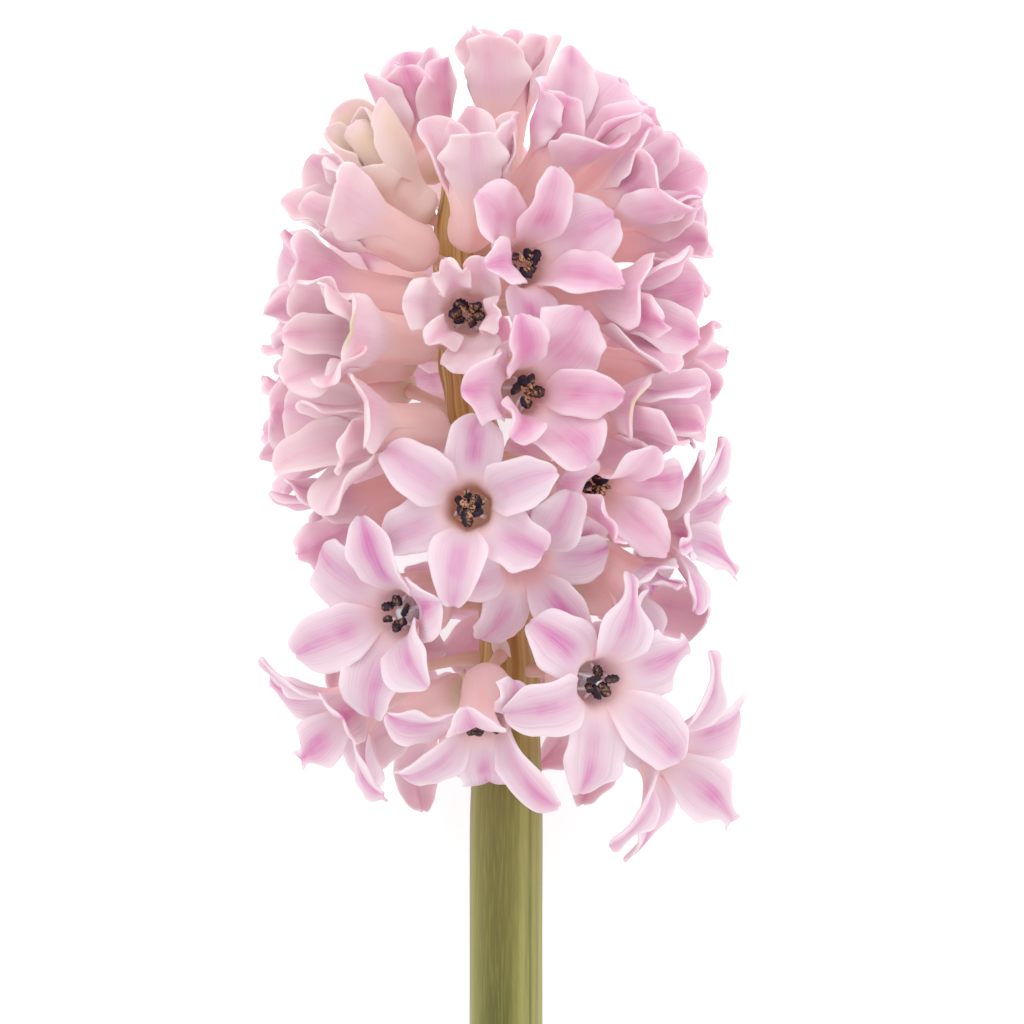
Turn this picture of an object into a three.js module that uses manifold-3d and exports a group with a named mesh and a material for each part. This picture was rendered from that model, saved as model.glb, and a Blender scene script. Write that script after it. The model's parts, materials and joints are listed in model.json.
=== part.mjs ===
// A cut hyacinth spike that lies on a table: a ridged stalk, and round it open and half-open florets.
// Millimetres. The flower is laid out in its own frame, x to the right, y up the stalk and z towards
// the viewer, and the whole group is then tilted so that it rests on its lower petals and its cut end.
import * as THREE from 'three';
import { mergeVertices } from 'three/addons/utils/BufferGeometryUtils.js';
import Module from 'manifold-3d';

const wasm = await Module();
wasm.setup();

// The view that the flower was laid out from: pixels to millimetres
const PIXELS_PER_MM = 5.8;
const PICTURE_SIZE = 1024;
const STALK_PIXEL_X = 506;

// How the flower lies
const REST_TILT = THREE.MathUtils.degToRad(9.5);
const CUT_END_Y = -72;

// Stalk: its centre line and its radius, by height
const STALK_RADIUS = 6.45;
const STALK_ROUTE = [
  { x: 0, y: CUT_END_Y, radius: STALK_RADIUS },
  { x: 0, y: 38, radius: STALK_RADIUS },
  { x: 0.4, y: 58, radius: 5.2 },
  { x: -0.2, y: 78, radius: 4.4 },
  { x: -5.2, y: 100, radius: 4.0 },
  { x: -8.2, y: 118, radius: 3.6 },
  { x: -9, y: 135, radius: 2.9 },
  { x: -9, y: 151, radius: 1.8 },
];
const STALK_SIDES = 16;
const STALK_RINGS = [-72, 38, 48, 58, 78, 100, 118, 135, 151];
const STALK_RIDGE = 0.12;

// Floret: the tube
const TUBE_LENGTH = 12.5;
const TUBE_PROFILE = [
  { along: 0, radius: 1.8 },
  { along: 0.26, radius: 4.3 },
  { along: 0.6, radius: 4.0 },
];
const MOUTH_RADIUS = 4.6;
const MOUTH_WALL = 0.65;
const THROAT_DEPTH = 6.6;
const THROAT_SHARE = 0.55;
const THROAT_RADIUS = 2.8;

// Floret: the six lobes
const LOBES = 6;
const LOBE_LENGTH = 17;
const SHOWN_LOBE_SHARE = 0.88;
const LOBE_HALF_WIDTH = 5.1;
const OUTER_LOBE_WIDTH = 1.03;
const INNER_LOBE_WIDTH = 0.94;
const LOBE_HALF_THICKNESS = 0.6;
const LOBE_ROWS = [0.16, 0.4, 0.65, 0.87];
const WHORL_OFFSET = 0.7;
const ROOT_WRAP = 0.48;
const TIGHTEST_WRAP = 2.6;
const OPEN_CHANNEL_RADIUS = 11;
const RAIL_STEPS = 24;
// How far one lobe may differ from the next by chance: in length, sway and opening
const LENGTH_CHANCE = 0.12;
const SWAY_CHANCE = 10;
const CLOSED_CHANCE = 0.04;
const OPEN_CHANCE = 0.14;
const OUTER_OPENS_MORE = 0.04;
// Share of a lobe's bend that is already there at its root
const BEND_AT_ROOT = 0.35;
// Angle of a lobe from its floret's axis at its root, middle and tip, closed, half open and open
const LOBE_ANGLES = [
  { open: 0, root: 9, middle: 1, tip: -16 },
  { open: 0.3, root: 15, middle: 11, tip: 26 },
  { open: 0.5, root: 20, middle: 25, tip: 62 },
  { open: 0.75, root: 33, middle: 50, tip: 105 },
  { open: 1, root: 50, middle: 86, tip: 138 },
  { open: 1.3, root: 62, middle: 104, tip: 170 },
];

// Stamens and pistil
const ANTHER_REACH = 2.75;
const ANTHER_TOP = 0.9;
const STAMEN_GAP = 0.3;

// Pedicels: each leaves the stalk below its floret's mouth
const PEDICEL_RADIUS = 1.25;
const PEDICEL_SIDES = 5;
const SHORTEST_PEDICEL = 3;
const PIECE_GAP = 0.3;
const ROOT_BELOW_MOUTH = 14;
const LOWEST_ROOT = 46;
const HIGHEST_ROOT = 149;
const ROOT_DEPTH = 0.6;
const SUPPORT_BEND = 0.55;

// Bracts: small curled leaves that grow out of the stalk under a floret. aside is how far the tip
// is to the right of the root, and away how far it stands off the stalk.
const BRACTS = [
  { height: 62.5, turn: -2, length: 9.5, aside: -3.6, away: 2.2, halfWidth: 1.3 },
  { height: 56.5, turn: -58, length: 4.5, aside: -0.8, away: 3.2, halfWidth: 1.4 },
  { height: 84, turn: 14, length: 6, aside: 1.2, away: 1.6, halfWidth: 1.1 },
];
const BRACT_HALF_THICKNESS = 0.35;
const BRACT_ROWS = [
  { along: 0, width: 0.8 },
  { along: 0.35, width: 1 },
  { along: 0.7, width: 0.8 },
  { along: 1, width: 0.3 },
];

// Room that each surface keeps round it while the florets are bent clear of each other
const LOBE_MARGIN = 1.05;
const TUBE_MARGIN = 0.7;
const OWN_LOBE_GAP = 1.1;
const LOBE_SAMPLE_ROWS = [0.22, 0.31, 0.4, 0.5, 0.6, 0.7, 0.8, 0.9, 1];
const LOBE_SAMPLE_SIDES = [-1, -0.66, -0.33, 0, 0.33, 0.66, 1];
const TUBE_SAMPLE_ROWS = [0, 0.14, 0.28, 0.45, 0.62, 0.8, 1];
const SAMPLE_RING = 12;
const LOWEST_LOBE = 0.02;

// Florets that face the viewer or stand at the sides. pixel is the mouth of the tube in the picture,
// depth is how far it is in front of the stalk, turn and lift are where it faces (0, 0 is at the
// viewer, turn 90 is right), open is how far the lobes have spread, and roll is where the first lobe
// points, counter-clockwise from the right. lobeShare is how much of the longest lobes' length its
// lobes have, where that isn't the usual share.
const SHOWN_FLORETS = [
  { pixel: [470, 507], depth: 25, turn: -5, lift: 3, open: 0.96, roll: 83, size: 0.95, stamens: true,
    lobeShare: 0.8 },
  { pixel: [400, 612], depth: 21, turn: -28, lift: -6, open: 0.88, roll: 16, size: 1.08, stamens: true },
  { pixel: [598, 680], depth: 19, turn: 28, lift: -6, open: 1.0, roll: 18, size: 1.08, stamens: true },
  { pixel: [483, 720], depth: 22, turn: -4, lift: -54, open: 0.95, roll: 30, size: 1.0, stamens: true },
  { pixel: [525, 395], depth: 22, turn: 26, lift: 2, open: 0.7, roll: 57, size: 0.97, stamens: true },
  { pixel: [525, 268], depth: 20, turn: 28, lift: 14, open: 0.66, roll: 22, size: 1.0, stamens: true },
  { pixel: [468, 318], depth: 22, turn: -4, lift: 2, open: 0.54, roll: 50, size: 0.7, stamens: true },
  { pixel: [524, 562], depth: 17, turn: 20, lift: -20, open: 0.92, roll: 9, size: 0.85, stamens: false },
  { pixel: [600, 494], depth: 17, turn: 40, lift: -26, open: 0.74, roll: 30, size: 0.84, stamens: true },
  { pixel: [378, 340], depth: 19, turn: -48, lift: 2, open: 0.36, roll: 0, size: 1.06, stamens: false },
  { pixel: [384, 430], depth: 20, turn: -58, lift: 0, open: 0.55, roll: 30, size: 1.08, stamens: false },
  { pixel: [346, 428], depth: 3, turn: -84, lift: 2, open: 0.5, roll: 10, size: 1.03, stamens: false },
  { pixel: [366, 508], depth: 8, turn: -70, lift: -24, open: 0.66, roll: 40, size: 1.02, stamens: false },
  { pixel: [354, 294], depth: 7, turn: -80, lift: 8, open: 0.42, roll: 20, size: 1.02, stamens: false },
  { pixel: [346, 358], depth: -6, turn: -100, lift: -4, open: 0.5, roll: 0, size: 1.0, stamens: false },
  { pixel: [378, 230], depth: 13, turn: -64, lift: 24, open: 0.26, roll: 8, size: 1.0, stamens: false },
  { pixel: [374, 206], depth: -8, turn: -95, lift: 32, open: 0.3, roll: 0, size: 0.9, stamens: false },
  { pixel: [396, 182], depth: 4, turn: -50, lift: 46, open: 0.05, roll: 30, size: 1.0, stamens: false },
  { pixel: [420, 130], depth: -5, turn: -30, lift: 70, open: 0.22, roll: 0, size: 0.98, stamens: false },
  { pixel: [475, 200], depth: 17, turn: 0, lift: 74, open: 0.28, roll: 30, size: 0.92, stamens: false },
  { pixel: [502, 108], depth: 0, turn: 10, lift: 78, open: 0.32, roll: 0, size: 1.0, stamens: false },
  { pixel: [556, 158], depth: 14, turn: 30, lift: 44, open: 0.46, roll: 28, size: 1.1, stamens: false },
  { pixel: [590, 152], depth: -6, turn: 70, lift: 50, open: 0.28, roll: 0, size: 0.95, stamens: false },
  { pixel: [632, 190], depth: -14, turn: 112, lift: 22, open: 0.4, roll: 0, size: 0.88, stamens: false },
  { pixel: [636, 232], depth: 0, turn: 86, lift: 9, open: 0.46, roll: 25, size: 0.97, stamens: false },
  { pixel: [618, 206], depth: 14, turn: 56, lift: 24, open: 0.46, roll: 0, size: 0.95, stamens: false },
  { pixel: [605, 306], depth: 14, turn: 54, lift: -4, open: 0.46, roll: 26, size: 1.08, stamens: false },
  { pixel: [638, 372], depth: -3, turn: 90, lift: -10, open: 0.5, roll: 0, size: 1.02, stamens: false },
  { pixel: [622, 414], depth: 15, turn: 56, lift: -6, open: 0.5, roll: 30, size: 1.0, stamens: false },
  { pixel: [671, 524], depth: -1, turn: 70, lift: 0, open: 0.8, roll: 18, size: 0.95, stamens: true },
  { pixel: [632, 584], depth: 8, turn: 60, lift: -36, open: 0.75, roll: 5, size: 0.92, stamens: false },
  { pixel: [352, 710], depth: 6, turn: -54, lift: -38, open: 0.84, roll: 25, size: 1.02, stamens: true },
  { pixel: [660, 754], depth: 4, turn: 54, lift: -24, open: 0.9, roll: 32, size: 1.1, stamens: true,
    lobeShare: 1.0 },
];

// Florets behind the stalk stand in rings. Each ring has its height, the turn of its florets, how
// far their mouths are from the stalk's centre, and where and how far they open.
const BACK_RINGS = [
  { height: 53, turns: [143, -142], reach: 23.5, lift: -20, open: 0.95, stamens: true },
  { height: 73, turns: [124, 178, -120], reach: 25, lift: -8, open: 0.9, stamens: false },
  { height: 93, turns: [148, -148], reach: 25, lift: 0, open: 0.8, stamens: false },
  { height: 112, turns: [122, 178, -132], reach: 25, lift: 6, open: 0.6, stamens: false },
  { height: 130, turns: [150, -154], reach: 24, lift: 22, open: 0.5, stamens: false },
  { height: 143, turns: [176], reach: 21, lift: 46, open: 0.35, stamens: false },
];

const WAXY_PINK = new THREE.MeshStandardMaterial({ color: 0xf0c3d4, roughness: 0.55, metalness: 0 });
const STALK_GREEN = new THREE.MeshStandardMaterial({ color: 0x8e8a48, roughness: 0.6, metalness: 0 });
const ANTHER_PURPLE = new THREE.MeshStandardMaterial({ color: 0x2e2340, roughness: 0.8, metalness: 0 });

const radians = THREE.MathUtils.degToRad;
const clamp = THREE.MathUtils.clamp;
const lerp = THREE.MathUtils.lerp;
const smoothstep = THREE.MathUtils.smoothstep;
const vector = (x, y, z) => new THREE.Vector3(x, y, z);

/** A fixed number from 0 to 1 for the floret and its feature, so that no two lobes are alike. */
function chance(floret, feature) {
  const value = Math.sin(floret * 12.9898 + feature * 78.233) * 43758.5453;
  return value - Math.floor(value);
}

/** Centre and radius of the stalk at a height. */
function stalkAt(height) {
  const last = STALK_ROUTE.length - 1;
  const y = clamp(height, STALK_ROUTE[0].y, STALK_ROUTE[last].y);
  let i = 0;
  while (i < last - 1 && y > STALK_ROUTE[i + 1].y) i += 1;
  const [low, high] = [STALK_ROUTE[i], STALK_ROUTE[i + 1]];
  const share = (y - low.y) / (high.y - low.y);
  const centre = vector(lerp(low.x, high.x, share), y, 0);
  return { centre, radius: lerp(low.radius, high.radius, share) };
}

// The surface that the flower rests on passes under the rim of the cut end.
const CUT_END_RADIUS = STALK_RADIUS + STALK_RIDGE;
const SURFACE_OFFSET = CUT_END_RADIUS * Math.cos(REST_TILT) - CUT_END_Y * Math.sin(REST_TILT);

/** Height of a point above the surface that the flower rests on. */
function heightAbove(point) {
  return point.y * Math.sin(REST_TILT) + point.z * Math.cos(REST_TILT) + SURFACE_OFFSET;
}

/** Closed geometry from points and triangles. */
function closedGeometry(points, faces) {
  const geometry = new THREE.BufferGeometry();
  geometry.setAttribute('position', new THREE.Float32BufferAttribute(points.flatMap((p) => p.toArray()), 3));
  geometry.setIndex(faces.flat());
  return geometry;
}

/** Triangles that join two rings with the same number of points. */
function band(lower, upper) {
  return lower.flatMap((a, i) => {
    const next = (i + 1) % lower.length;
    return [[a, lower[next], upper[next]], [a, upper[next], upper[i]]];
  });
}

/** Triangles from a ring of six to a ring of twelve above it. */
function doublingBand(six, twelve) {
  return six.flatMap((a, i) => {
    const b = six[(i + 1) % 6];
    const [left, middle, right] = [twelve[2 * i], twelve[2 * i + 1], twelve[(2 * i + 2) % 12]];
    return [[a, middle, left], [a, b, middle], [b, right, middle]];
  });
}

/** Fan of triangles that closes a ring. */
function cap(ring) {
  return ring.slice(1, -1).map((p, i) => [ring[0], p, ring[i + 2]]);
}

const flipped = (faces) => faces.map(([a, b, c]) => [a, c, b]);

/** A floret's directions: axis out of the mouth, right and up seen from in front of it. */
function facing(turn, lift) {
  const [t, l] = [radians(turn), radians(lift)];
  const axis = vector(Math.sin(t) * Math.cos(l), Math.sin(l), Math.cos(t) * Math.cos(l));
  const right = vector(Math.cos(t), 0, -Math.sin(t));
  return { axis, right, up: axis.clone().cross(right) };
}

/** The curve from the stalk to a floret's mouth: pedicel first, then the tube. */
function supportCurve(floret, shift) {
  const below = ROOT_BELOW_MOUTH * Math.sin(radians(floret.lift));
  const height = clamp(floret.mouth.y - below + shift.height, LOWEST_ROOT, HIGHEST_ROOT);
  const { centre, radius } = stalkAt(height);
  const out = floret.mouth.clone().sub(centre).setY(0);
  const angle = Math.atan2(out.x, out.z) + radians(shift.turn);
  const outward = vector(Math.sin(angle), 0, Math.cos(angle));
  const root = centre.clone().addScaledVector(outward, radius * ROOT_DEPTH);
  const reach = floret.mouth.distanceTo(root);
  const bend = floret.mouth.clone().addScaledVector(floret.axis, -SUPPORT_BEND * reach);
  return new THREE.QuadraticBezierCurve3(root, bend, floret.mouth.clone());
}

/** Directions across the tube at a tangent, carried along from the mouth's own. */
function across(floret, tangent) {
  const right = floret.right.clone().addScaledVector(tangent, -floret.right.dot(tangent)).normalize();
  return { right, up: tangent.clone().cross(right) };
}

/** A ring of points round the support curve. */
function ringOn(floret, share, radius, sides) {
  const centre = floret.curve.getPointAt(share);
  const { right, up } = across(floret, floret.curve.getTangentAt(share));
  return Array.from({ length: sides }, (_, i) => {
    const angle = radians(floret.roll) + (2 * Math.PI * i) / sides;
    return centre.clone()
      .addScaledVector(right, radius * Math.cos(angle))
      .addScaledVector(up, radius * Math.sin(angle));
  });
}

/** Share of the support curve at which a distance along the tube lies. */
function tubeShare(floret, along) {
  return 1 - (floret.tubeLength * (1 - along)) / floret.curveLength;
}

/** How far a lobe leans from the floret's axis, by how open the floret is and how far along the lobe. */
function lobeAngle(open, along) {
  const last = LOBE_ANGLES.length - 1;
  let i = 0;
  while (i < last - 1 && open > LOBE_ANGLES[i + 1].open) i += 1;
  const [low, high] = [LOBE_ANGLES[i], LOBE_ANGLES[i + 1]];
  const share = (open - low.open) / (high.open - low.open);
  const root = lerp(low.root, high.root, share);
  const middle = lerp(low.middle, high.middle, share);
  const tip = lerp(low.tip, high.tip, share);
  const bow = 2 * (root + tip - 2 * middle);
  return root + (tip - root - bow) * along + bow * along * along;
}

/** How deep the open throat of a floret is. */
function throatDepth(floret) {
  return Math.min(THROAT_DEPTH, floret.tubeLength * THROAT_SHARE);
}

/** Half the width of a lobe, as a share of its widest. */
function lobeOutline(along) {
  const spread = lerp(0.47, 1, smoothstep(along, 0.12, 0.55));
  const end = clamp((along - 0.55) / 0.45, 0, 1);
  return spread * Math.sqrt(Math.max(0, 1 - end ** 2.4));
}

/** One lobe of a floret, bent by a choice of opening and sway, as a function of place on it. */
function lobeSurface(floret, index, bend) {
  const inner = index % 2 === 1;
  const draw = (feature) => chance(floret.number, index * 7 + feature) - 0.5;
  const length = floret.size * LOBE_LENGTH * floret.lobeShare * bend.length
    * (1 + LENGTH_CHANCE * draw(1));
  const halfWidth = floret.size * LOBE_HALF_WIDTH * (inner ? INNER_LOBE_WIDTH : OUTER_LOBE_WIDTH);
  const loose = lerp(CLOSED_CHANCE, OPEN_CHANCE, floret.open) * draw(2);
  const open = Math.max(0, floret.open + loose + (inner ? -OUTER_OPENS_MORE : OUTER_OPENS_MORE));
  const azimuth = radians(floret.roll + (360 * index) / LOBES);
  const sway = radians(bend.sway + SWAY_CHANCE * draw(3));
  const angleAt = (along) => radians(lobeAngle(open, along) + bend.opening * lerp(BEND_AT_ROOT, 1, along));
  const rail = [{ out: MOUTH_RADIUS - MOUTH_WALL / 2, ahead: 0 }];
  for (let i = 0; i < RAIL_STEPS; i += 1) {
    const angle = angleAt((i + 0.5) / RAIL_STEPS);
    rail.push({
      out: rail[i].out + (length * Math.sin(angle)) / RAIL_STEPS,
      ahead: rail[i].ahead + (length * Math.cos(angle)) / RAIL_STEPS,
    });
  }
  return (along, side, layer) => {
    const place = along * RAIL_STEPS;
    const i = Math.min(Math.floor(place), RAIL_STEPS - 1);
    const out = lerp(rail[i].out, rail[i + 1].out, place - i);
    const ahead = lerp(rail[i].ahead, rail[i + 1].ahead, place - i);
    const angle = angleAt(along);
    const firstRow = smoothstep(along, 0, LOBE_ROWS[0]);
    const secondRow = smoothstep(along, LOBE_ROWS[0], LOBE_ROWS[1]);
    const whorl = (inner ? -WHORL_OFFSET : WHORL_OFFSET) * (firstRow + secondRow / 2);
    const wrap = 1 / Math.max(out + whorl, TIGHTEST_WRAP);
    const spreading = smoothstep(open, 0.2, 0.8) * smoothstep(along, 0.1, 0.5);
    const curl = lerp(wrap, 1 / OPEN_CHANNEL_RADIUS, spreading);
    const share = lerp(ROOT_WRAP, 1, secondRow);
    const width = Math.min(halfWidth * lobeOutline(along), share / wrap);
    const turned = curl * width * side;
    const offset = whorl + layer * LOBE_HALF_THICKNESS - (1 - Math.cos(turned)) / curl;
    const direction = azimuth + sway * along;
    const radial = floret.right.clone().multiplyScalar(Math.cos(direction))
      .addScaledVector(floret.up, Math.sin(direction));
    const sideways = floret.axis.clone().cross(radial);
    return floret.mouth.clone()
      .addScaledVector(radial, out + offset * Math.cos(angle))
      .addScaledVector(floret.axis, ahead - offset * Math.sin(angle))
      .addScaledVector(sideways, Math.sin(turned) / curl);
  };
}

const STEPS = [-1, 0, 1];
const CELLS_AROUND = STEPS.flatMap((x) => STEPS.flatMap((y) => STEPS.map((z) => [x, y, z])));

/** Points already taken, in a grid of cells, each with its owner and the room it keeps. */
class Crowd {
  constructor() {
    this.cellSize = 2 * LOBE_MARGIN;
    this.cells = new Map();
  }

  cellOf(point) {
    return point.toArray().map((value) => Math.floor(value / this.cellSize));
  }

  add(points, owner, margin) {
    points.forEach((point) => {
      const key = this.cellOf(point).join();
      if (!this.cells.has(key)) this.cells.set(key, []);
      this.cells.get(key).push({ point, owner, margin });
    });
  }

  /** What is taken in the point's cell and in the cells round it. */
  near(point) {
    const [i, j, k] = this.cellOf(point);
    return CELLS_AROUND.flatMap(([x, y, z]) => this.cells.get(`${i + x},${j + y},${k + z}`) ?? []);
  }

  /** The smallest distance to what others have taken, as a share of the room both sides want. */
  room(points, owner, margin) {
    let least = 1;
    points.forEach((point) => {
      this.near(point).forEach((taken) => {
        const wanted = taken.owner === owner ? OWN_LOBE_GAP : margin + taken.margin;
        least = Math.min(least, point.distanceTo(taken.point) / wanted);
      });
    });
    return least;
  }
}

/** Pairs of two bends, the smallest first. */
function bendChoices(firsts, seconds, build) {
  const all = firsts.flatMap((a, i) => seconds.map((b, j) => ({ cost: i + j, bend: build(a, b) })));
  return all.sort((a, b) => a.cost - b.cost).map((choice) => choice.bend);
}

// How a lobe may give way: it bends out or in, then sways, and as the last resort stays shorter
const LOBE_BENDS = [1, 0.86, 0.72, 0.6].flatMap((length) => bendChoices(
  [0, -10, 10, -20, 20, -30, 30, -40, 40, -50, 50],
  [0, 8, -8, 16, -16, 24, -24],
  (opening, sway) => ({ opening, sway, length }),
));
const ROOT_SHIFTS = bendChoices(
  [0, 3, -3, 6, -6, 9, -9, 12, -12],
  [0, 15, -15, 30, -30, 45, -45],
  (height, turn) => ({ height, turn }),
);

/** The first choice with room enough, or else the one with the most room. */
function clearest(choices, roomOf) {
  let best = { room: -Infinity };
  for (const choice of choices) {
    const room = roomOf(choice);
    if (room >= 1) return choice;
    if (room > best.room) best = { room, choice };
  }
  return best.choice;
}

/** Points spread over a lobe's middle surface. */
function lobeSamples(surface) {
  return LOBE_SAMPLE_ROWS.flatMap((along) => LOBE_SAMPLE_SIDES.map((side) => surface(along, side, 0)));
}

/** The four corners of a lobe at a distance along it: left, back, right and front. */
function lobeCorners(surface, along) {
  return [surface(along, -1, 0), surface(along, 0, 1), surface(along, 1, 0), surface(along, 0, -1)];
}

/** Whether a lobe stays above what the flower rests on. */
function clearOfGround(surface) {
  const corners = [...LOBE_ROWS.flatMap((along) => lobeCorners(surface, along)), surface(1, 0, 0)];
  return Math.min(...corners.map(heightAbove)) >= LOWEST_LOBE;
}

/** Points spread over a floret's tube. */
function tubeSamples(floret) {
  return TUBE_SAMPLE_ROWS.flatMap(
    (along) => ringOn(floret, tubeShare(floret, along), tubeRadius(floret, along), SAMPLE_RING),
  );
}

/** Radius of a tube's outside at a share of its length. */
function tubeRadius(floret, along) {
  const profile = [...TUBE_PROFILE, { along: 1, radius: MOUTH_RADIUS }];
  let i = 0;
  while (i < profile.length - 2 && along > profile[i + 1].along) i += 1;
  const share = (along - profile[i].along) / (profile[i + 1].along - profile[i].along);
  const radius = lerp(profile[i].radius, profile[i + 1].radius, share);
  return along < 1 ? radius * lerp(floret.size, 1, along) : radius;
}

/** Gives a floret its support curve and the length of its tube. */
function withSupport(floret, shift) {
  const curve = supportCurve(floret, shift);
  const curveLength = curve.getLength();
  const tubeLength = Math.min(TUBE_LENGTH * floret.size, curveLength - SHORTEST_PEDICEL);
  return { ...floret, curve, curveLength, tubeLength };
}

/** All florets, with their mouths and directions, those in view first. */
function placedFlorets() {
  const shown = SHOWN_FLORETS.map((floret) => ({
    lobeShare: SHOWN_LOBE_SHARE,
    ...floret,
    mouth: vector(
      (floret.pixel[0] - STALK_PIXEL_X) / PIXELS_PER_MM,
      (PICTURE_SIZE - floret.pixel[1]) / PIXELS_PER_MM,
      floret.depth,
    ),
  }));
  const behind = BACK_RINGS.flatMap((ring) => ring.turns.map((turn) => {
    const { centre } = stalkAt(ring.height);
    const out = facing(turn, 0).axis.multiplyScalar(ring.reach);
    return { ...ring, turn, roll: turn, size: 0.95, lobeShare: 1, mouth: centre.add(out) };
  }));
  return [...shown, ...behind].map((floret, i) => ({
    ...floret,
    ...facing(floret.turn, floret.lift),
    number: i + 1,
    name: String(i + 1).padStart(2, '0'),
  }));
}

/** Sets each tube, then each lobe, where it is clear of what is already there. */
function arrangedFlorets() {
  const crowd = new Crowd();
  STALK_RINGS.forEach((height) => {
    const { centre, radius } = stalkAt(height);
    const ring = Array.from({ length: SAMPLE_RING }, (_, i) => {
      const out = facing((360 * i) / SAMPLE_RING, 0).axis;
      return centre.clone().addScaledVector(out, radius);
    });
    crowd.add(ring, 'stalk', TUBE_MARGIN);
  });
  const supported = placedFlorets().map((floret) => {
    const shift = clearest(ROOT_SHIFTS, (choice) => {
      const trial = withSupport(floret, choice);
      return crowd.room(tubeSamples(trial), floret.number, TUBE_MARGIN);
    });
    const settled = withSupport(floret, shift);
    crowd.add(tubeSamples(settled), `tube ${floret.number}`, TUBE_MARGIN);
    return settled;
  });
  return supported.map((floret) => {
    const lobes = Array.from({ length: LOBES }, (_, index) => {
      const bend = clearest(LOBE_BENDS, (choice) => {
        const trial = lobeSurface(floret, index, choice);
        return clearOfGround(trial) ? crowd.room(lobeSamples(trial), floret.number, LOBE_MARGIN) : -1;
      });
      const surface = lobeSurface(floret, index, bend);
      crowd.add(lobeSamples(surface), floret.number, LOBE_MARGIN);
      return surface;
    });
    return { ...floret, lobes };
  });
}

/** One floret: a hollow tube that opens into six lobes, as one closed body. */
function floretGeometry(floret) {
  const points = [];
  const put = (list) => list.map((point) => points.push(point) - 1);
  const outside = TUBE_PROFILE.map(({ along }) => put(
    ringOn(floret, tubeShare(floret, along), tubeRadius(floret, along), 6),
  ));
  const outerRim = put(ringOn(floret, 1, MOUTH_RADIUS, 12));
  const innerRim = put(ringOn(floret, 1, MOUTH_RADIUS - MOUTH_WALL, 12));
  const throatShare = 1 - throatDepth(floret) / floret.curveLength;
  const throat = put(ringOn(floret, throatShare, THROAT_RADIUS, 6));
  const faces = [
    ...flipped(cap(outside[0])),
    ...band(outside[0], outside[1]),
    ...band(outside[1], outside[2]),
    ...doublingBand(outside[2], outerRim),
    ...flipped(doublingBand(throat, innerRim)),
    ...cap(throat),
  ];
  floret.lobes.forEach((surface, index) => {
    const [before, at, after] = [2 * index + 11, 2 * index, 2 * index + 1].map((i) => i % 12);
    const row = LOBE_ROWS.map((along) => put(lobeCorners(surface, along)));
    const [left, back, right, front] = row[0];
    faces.push(
      [outerRim[before], outerRim[at], back], [outerRim[before], back, left],
      [outerRim[at], outerRim[after], right], [outerRim[at], right, back],
      [outerRim[before], left, innerRim[before]], [outerRim[after], innerRim[after], right],
      [innerRim[before], front, innerRim[at]], [innerRim[before], left, front],
      [innerRim[at], right, innerRim[after]], [innerRim[at], front, right],
    );
    for (let i = 0; i < row.length - 1; i += 1) {
      const [a, b, c, d] = row[i];
      const [e, f, g, h] = row[i + 1];
      faces.push([a, b, f], [a, f, e], [b, c, g], [b, g, f], [d, a, e], [d, e, h], [c, d, h], [c, h, g]);
    }
    const [tip] = put([surface(1, 0, 0)]);
    faces.push(...row[row.length - 1].map((corner, i, ring) => [corner, ring[(i + 1) % 4], tip]));
  });
  return closedGeometry(points, faces);
}

/** Six anthers round a pistil, grown together low down in the throat of an open floret. */
function stamenGeometry(floret) {
  const rings = [
    { above: STAMEN_GAP - throatDepth(floret), anther: 1.1, between: 1.1 },
    { above: -3.4, anther: ANTHER_REACH * 0.75, between: 1.0 },
    { above: 0.4, anther: ANTHER_REACH, between: 0.8 },
  ];
  const points = [];
  const put = (list) => list.map((point) => points.push(point) - 1);
  const rows = rings.map(({ above, anther, between }) => put(
    Array.from({ length: 12 }, (_, i) => {
      const angle = radians(floret.roll + i * 30);
      const radius = i % 2 === 0 ? anther : between;
      const onAxis = above > 0
        ? floret.mouth.clone().addScaledVector(floret.axis, above)
        : floret.curve.getPointAt(1 + above / floret.curveLength);
      return onAxis.addScaledVector(floret.right, radius * Math.cos(angle))
        .addScaledVector(floret.up, radius * Math.sin(angle));
    }),
  ));
  const [top] = put([floret.mouth.clone().addScaledVector(floret.axis, ANTHER_TOP)]);
  const faces = [
    ...flipped(cap(rows[0])),
    ...band(rows[0], rows[1]),
    ...band(rows[1], rows[2]),
    ...rows[2].map((corner, i) => [corner, rows[2][(i + 1) % 12], top]),
  ];
  return closedGeometry(points, faces);
}

/** A closed solid lofted through rings of points, for joining to others. */
function loftedSolid(rings) {
  const points = rings.flat();
  const sides = rings[0].length;
  const indices = rings.map((_, i) => Array.from({ length: sides }, (_unused, j) => i * sides + j));
  const faces = [
    ...flipped(cap(indices[0])),
    ...indices.slice(1).flatMap((ring, i) => band(indices[i], ring)),
    ...cap(indices[indices.length - 1]),
  ];
  const geometry = mergeVertices(closedGeometry(points, faces));
  return new wasm.Manifold(new wasm.Mesh({
    numProp: 3,
    vertProperties: geometry.attributes.position.array,
    triVerts: Uint32Array.from(geometry.index.array),
  }));
}

/** The ridged stalk from the cut end to its top. */
function stalkSolid() {
  return loftedSolid(STALK_RINGS.map((height) => {
    const { centre, radius } = stalkAt(height);
    return Array.from({ length: STALK_SIDES }, (_, i) => {
      const ridge = i % 2 === 0 ? STALK_RIDGE : -STALK_RIDGE;
      const angle = radians((360 * i) / STALK_SIDES + 180);
      return centre.clone().addScaledVector(vector(Math.sin(angle), 0, Math.cos(angle)), radius + ridge);
    });
  }));
}

/** The short stalk that carries a floret, up to just before the tube. */
function pedicelSolid(floret) {
  const end = 1 - (floret.tubeLength + PIECE_GAP) / floret.curveLength;
  const rings = [0, end].map((share) => ringOn(floret, share, PEDICEL_RADIUS, PEDICEL_SIDES));
  return loftedSolid(rings);
}

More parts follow.
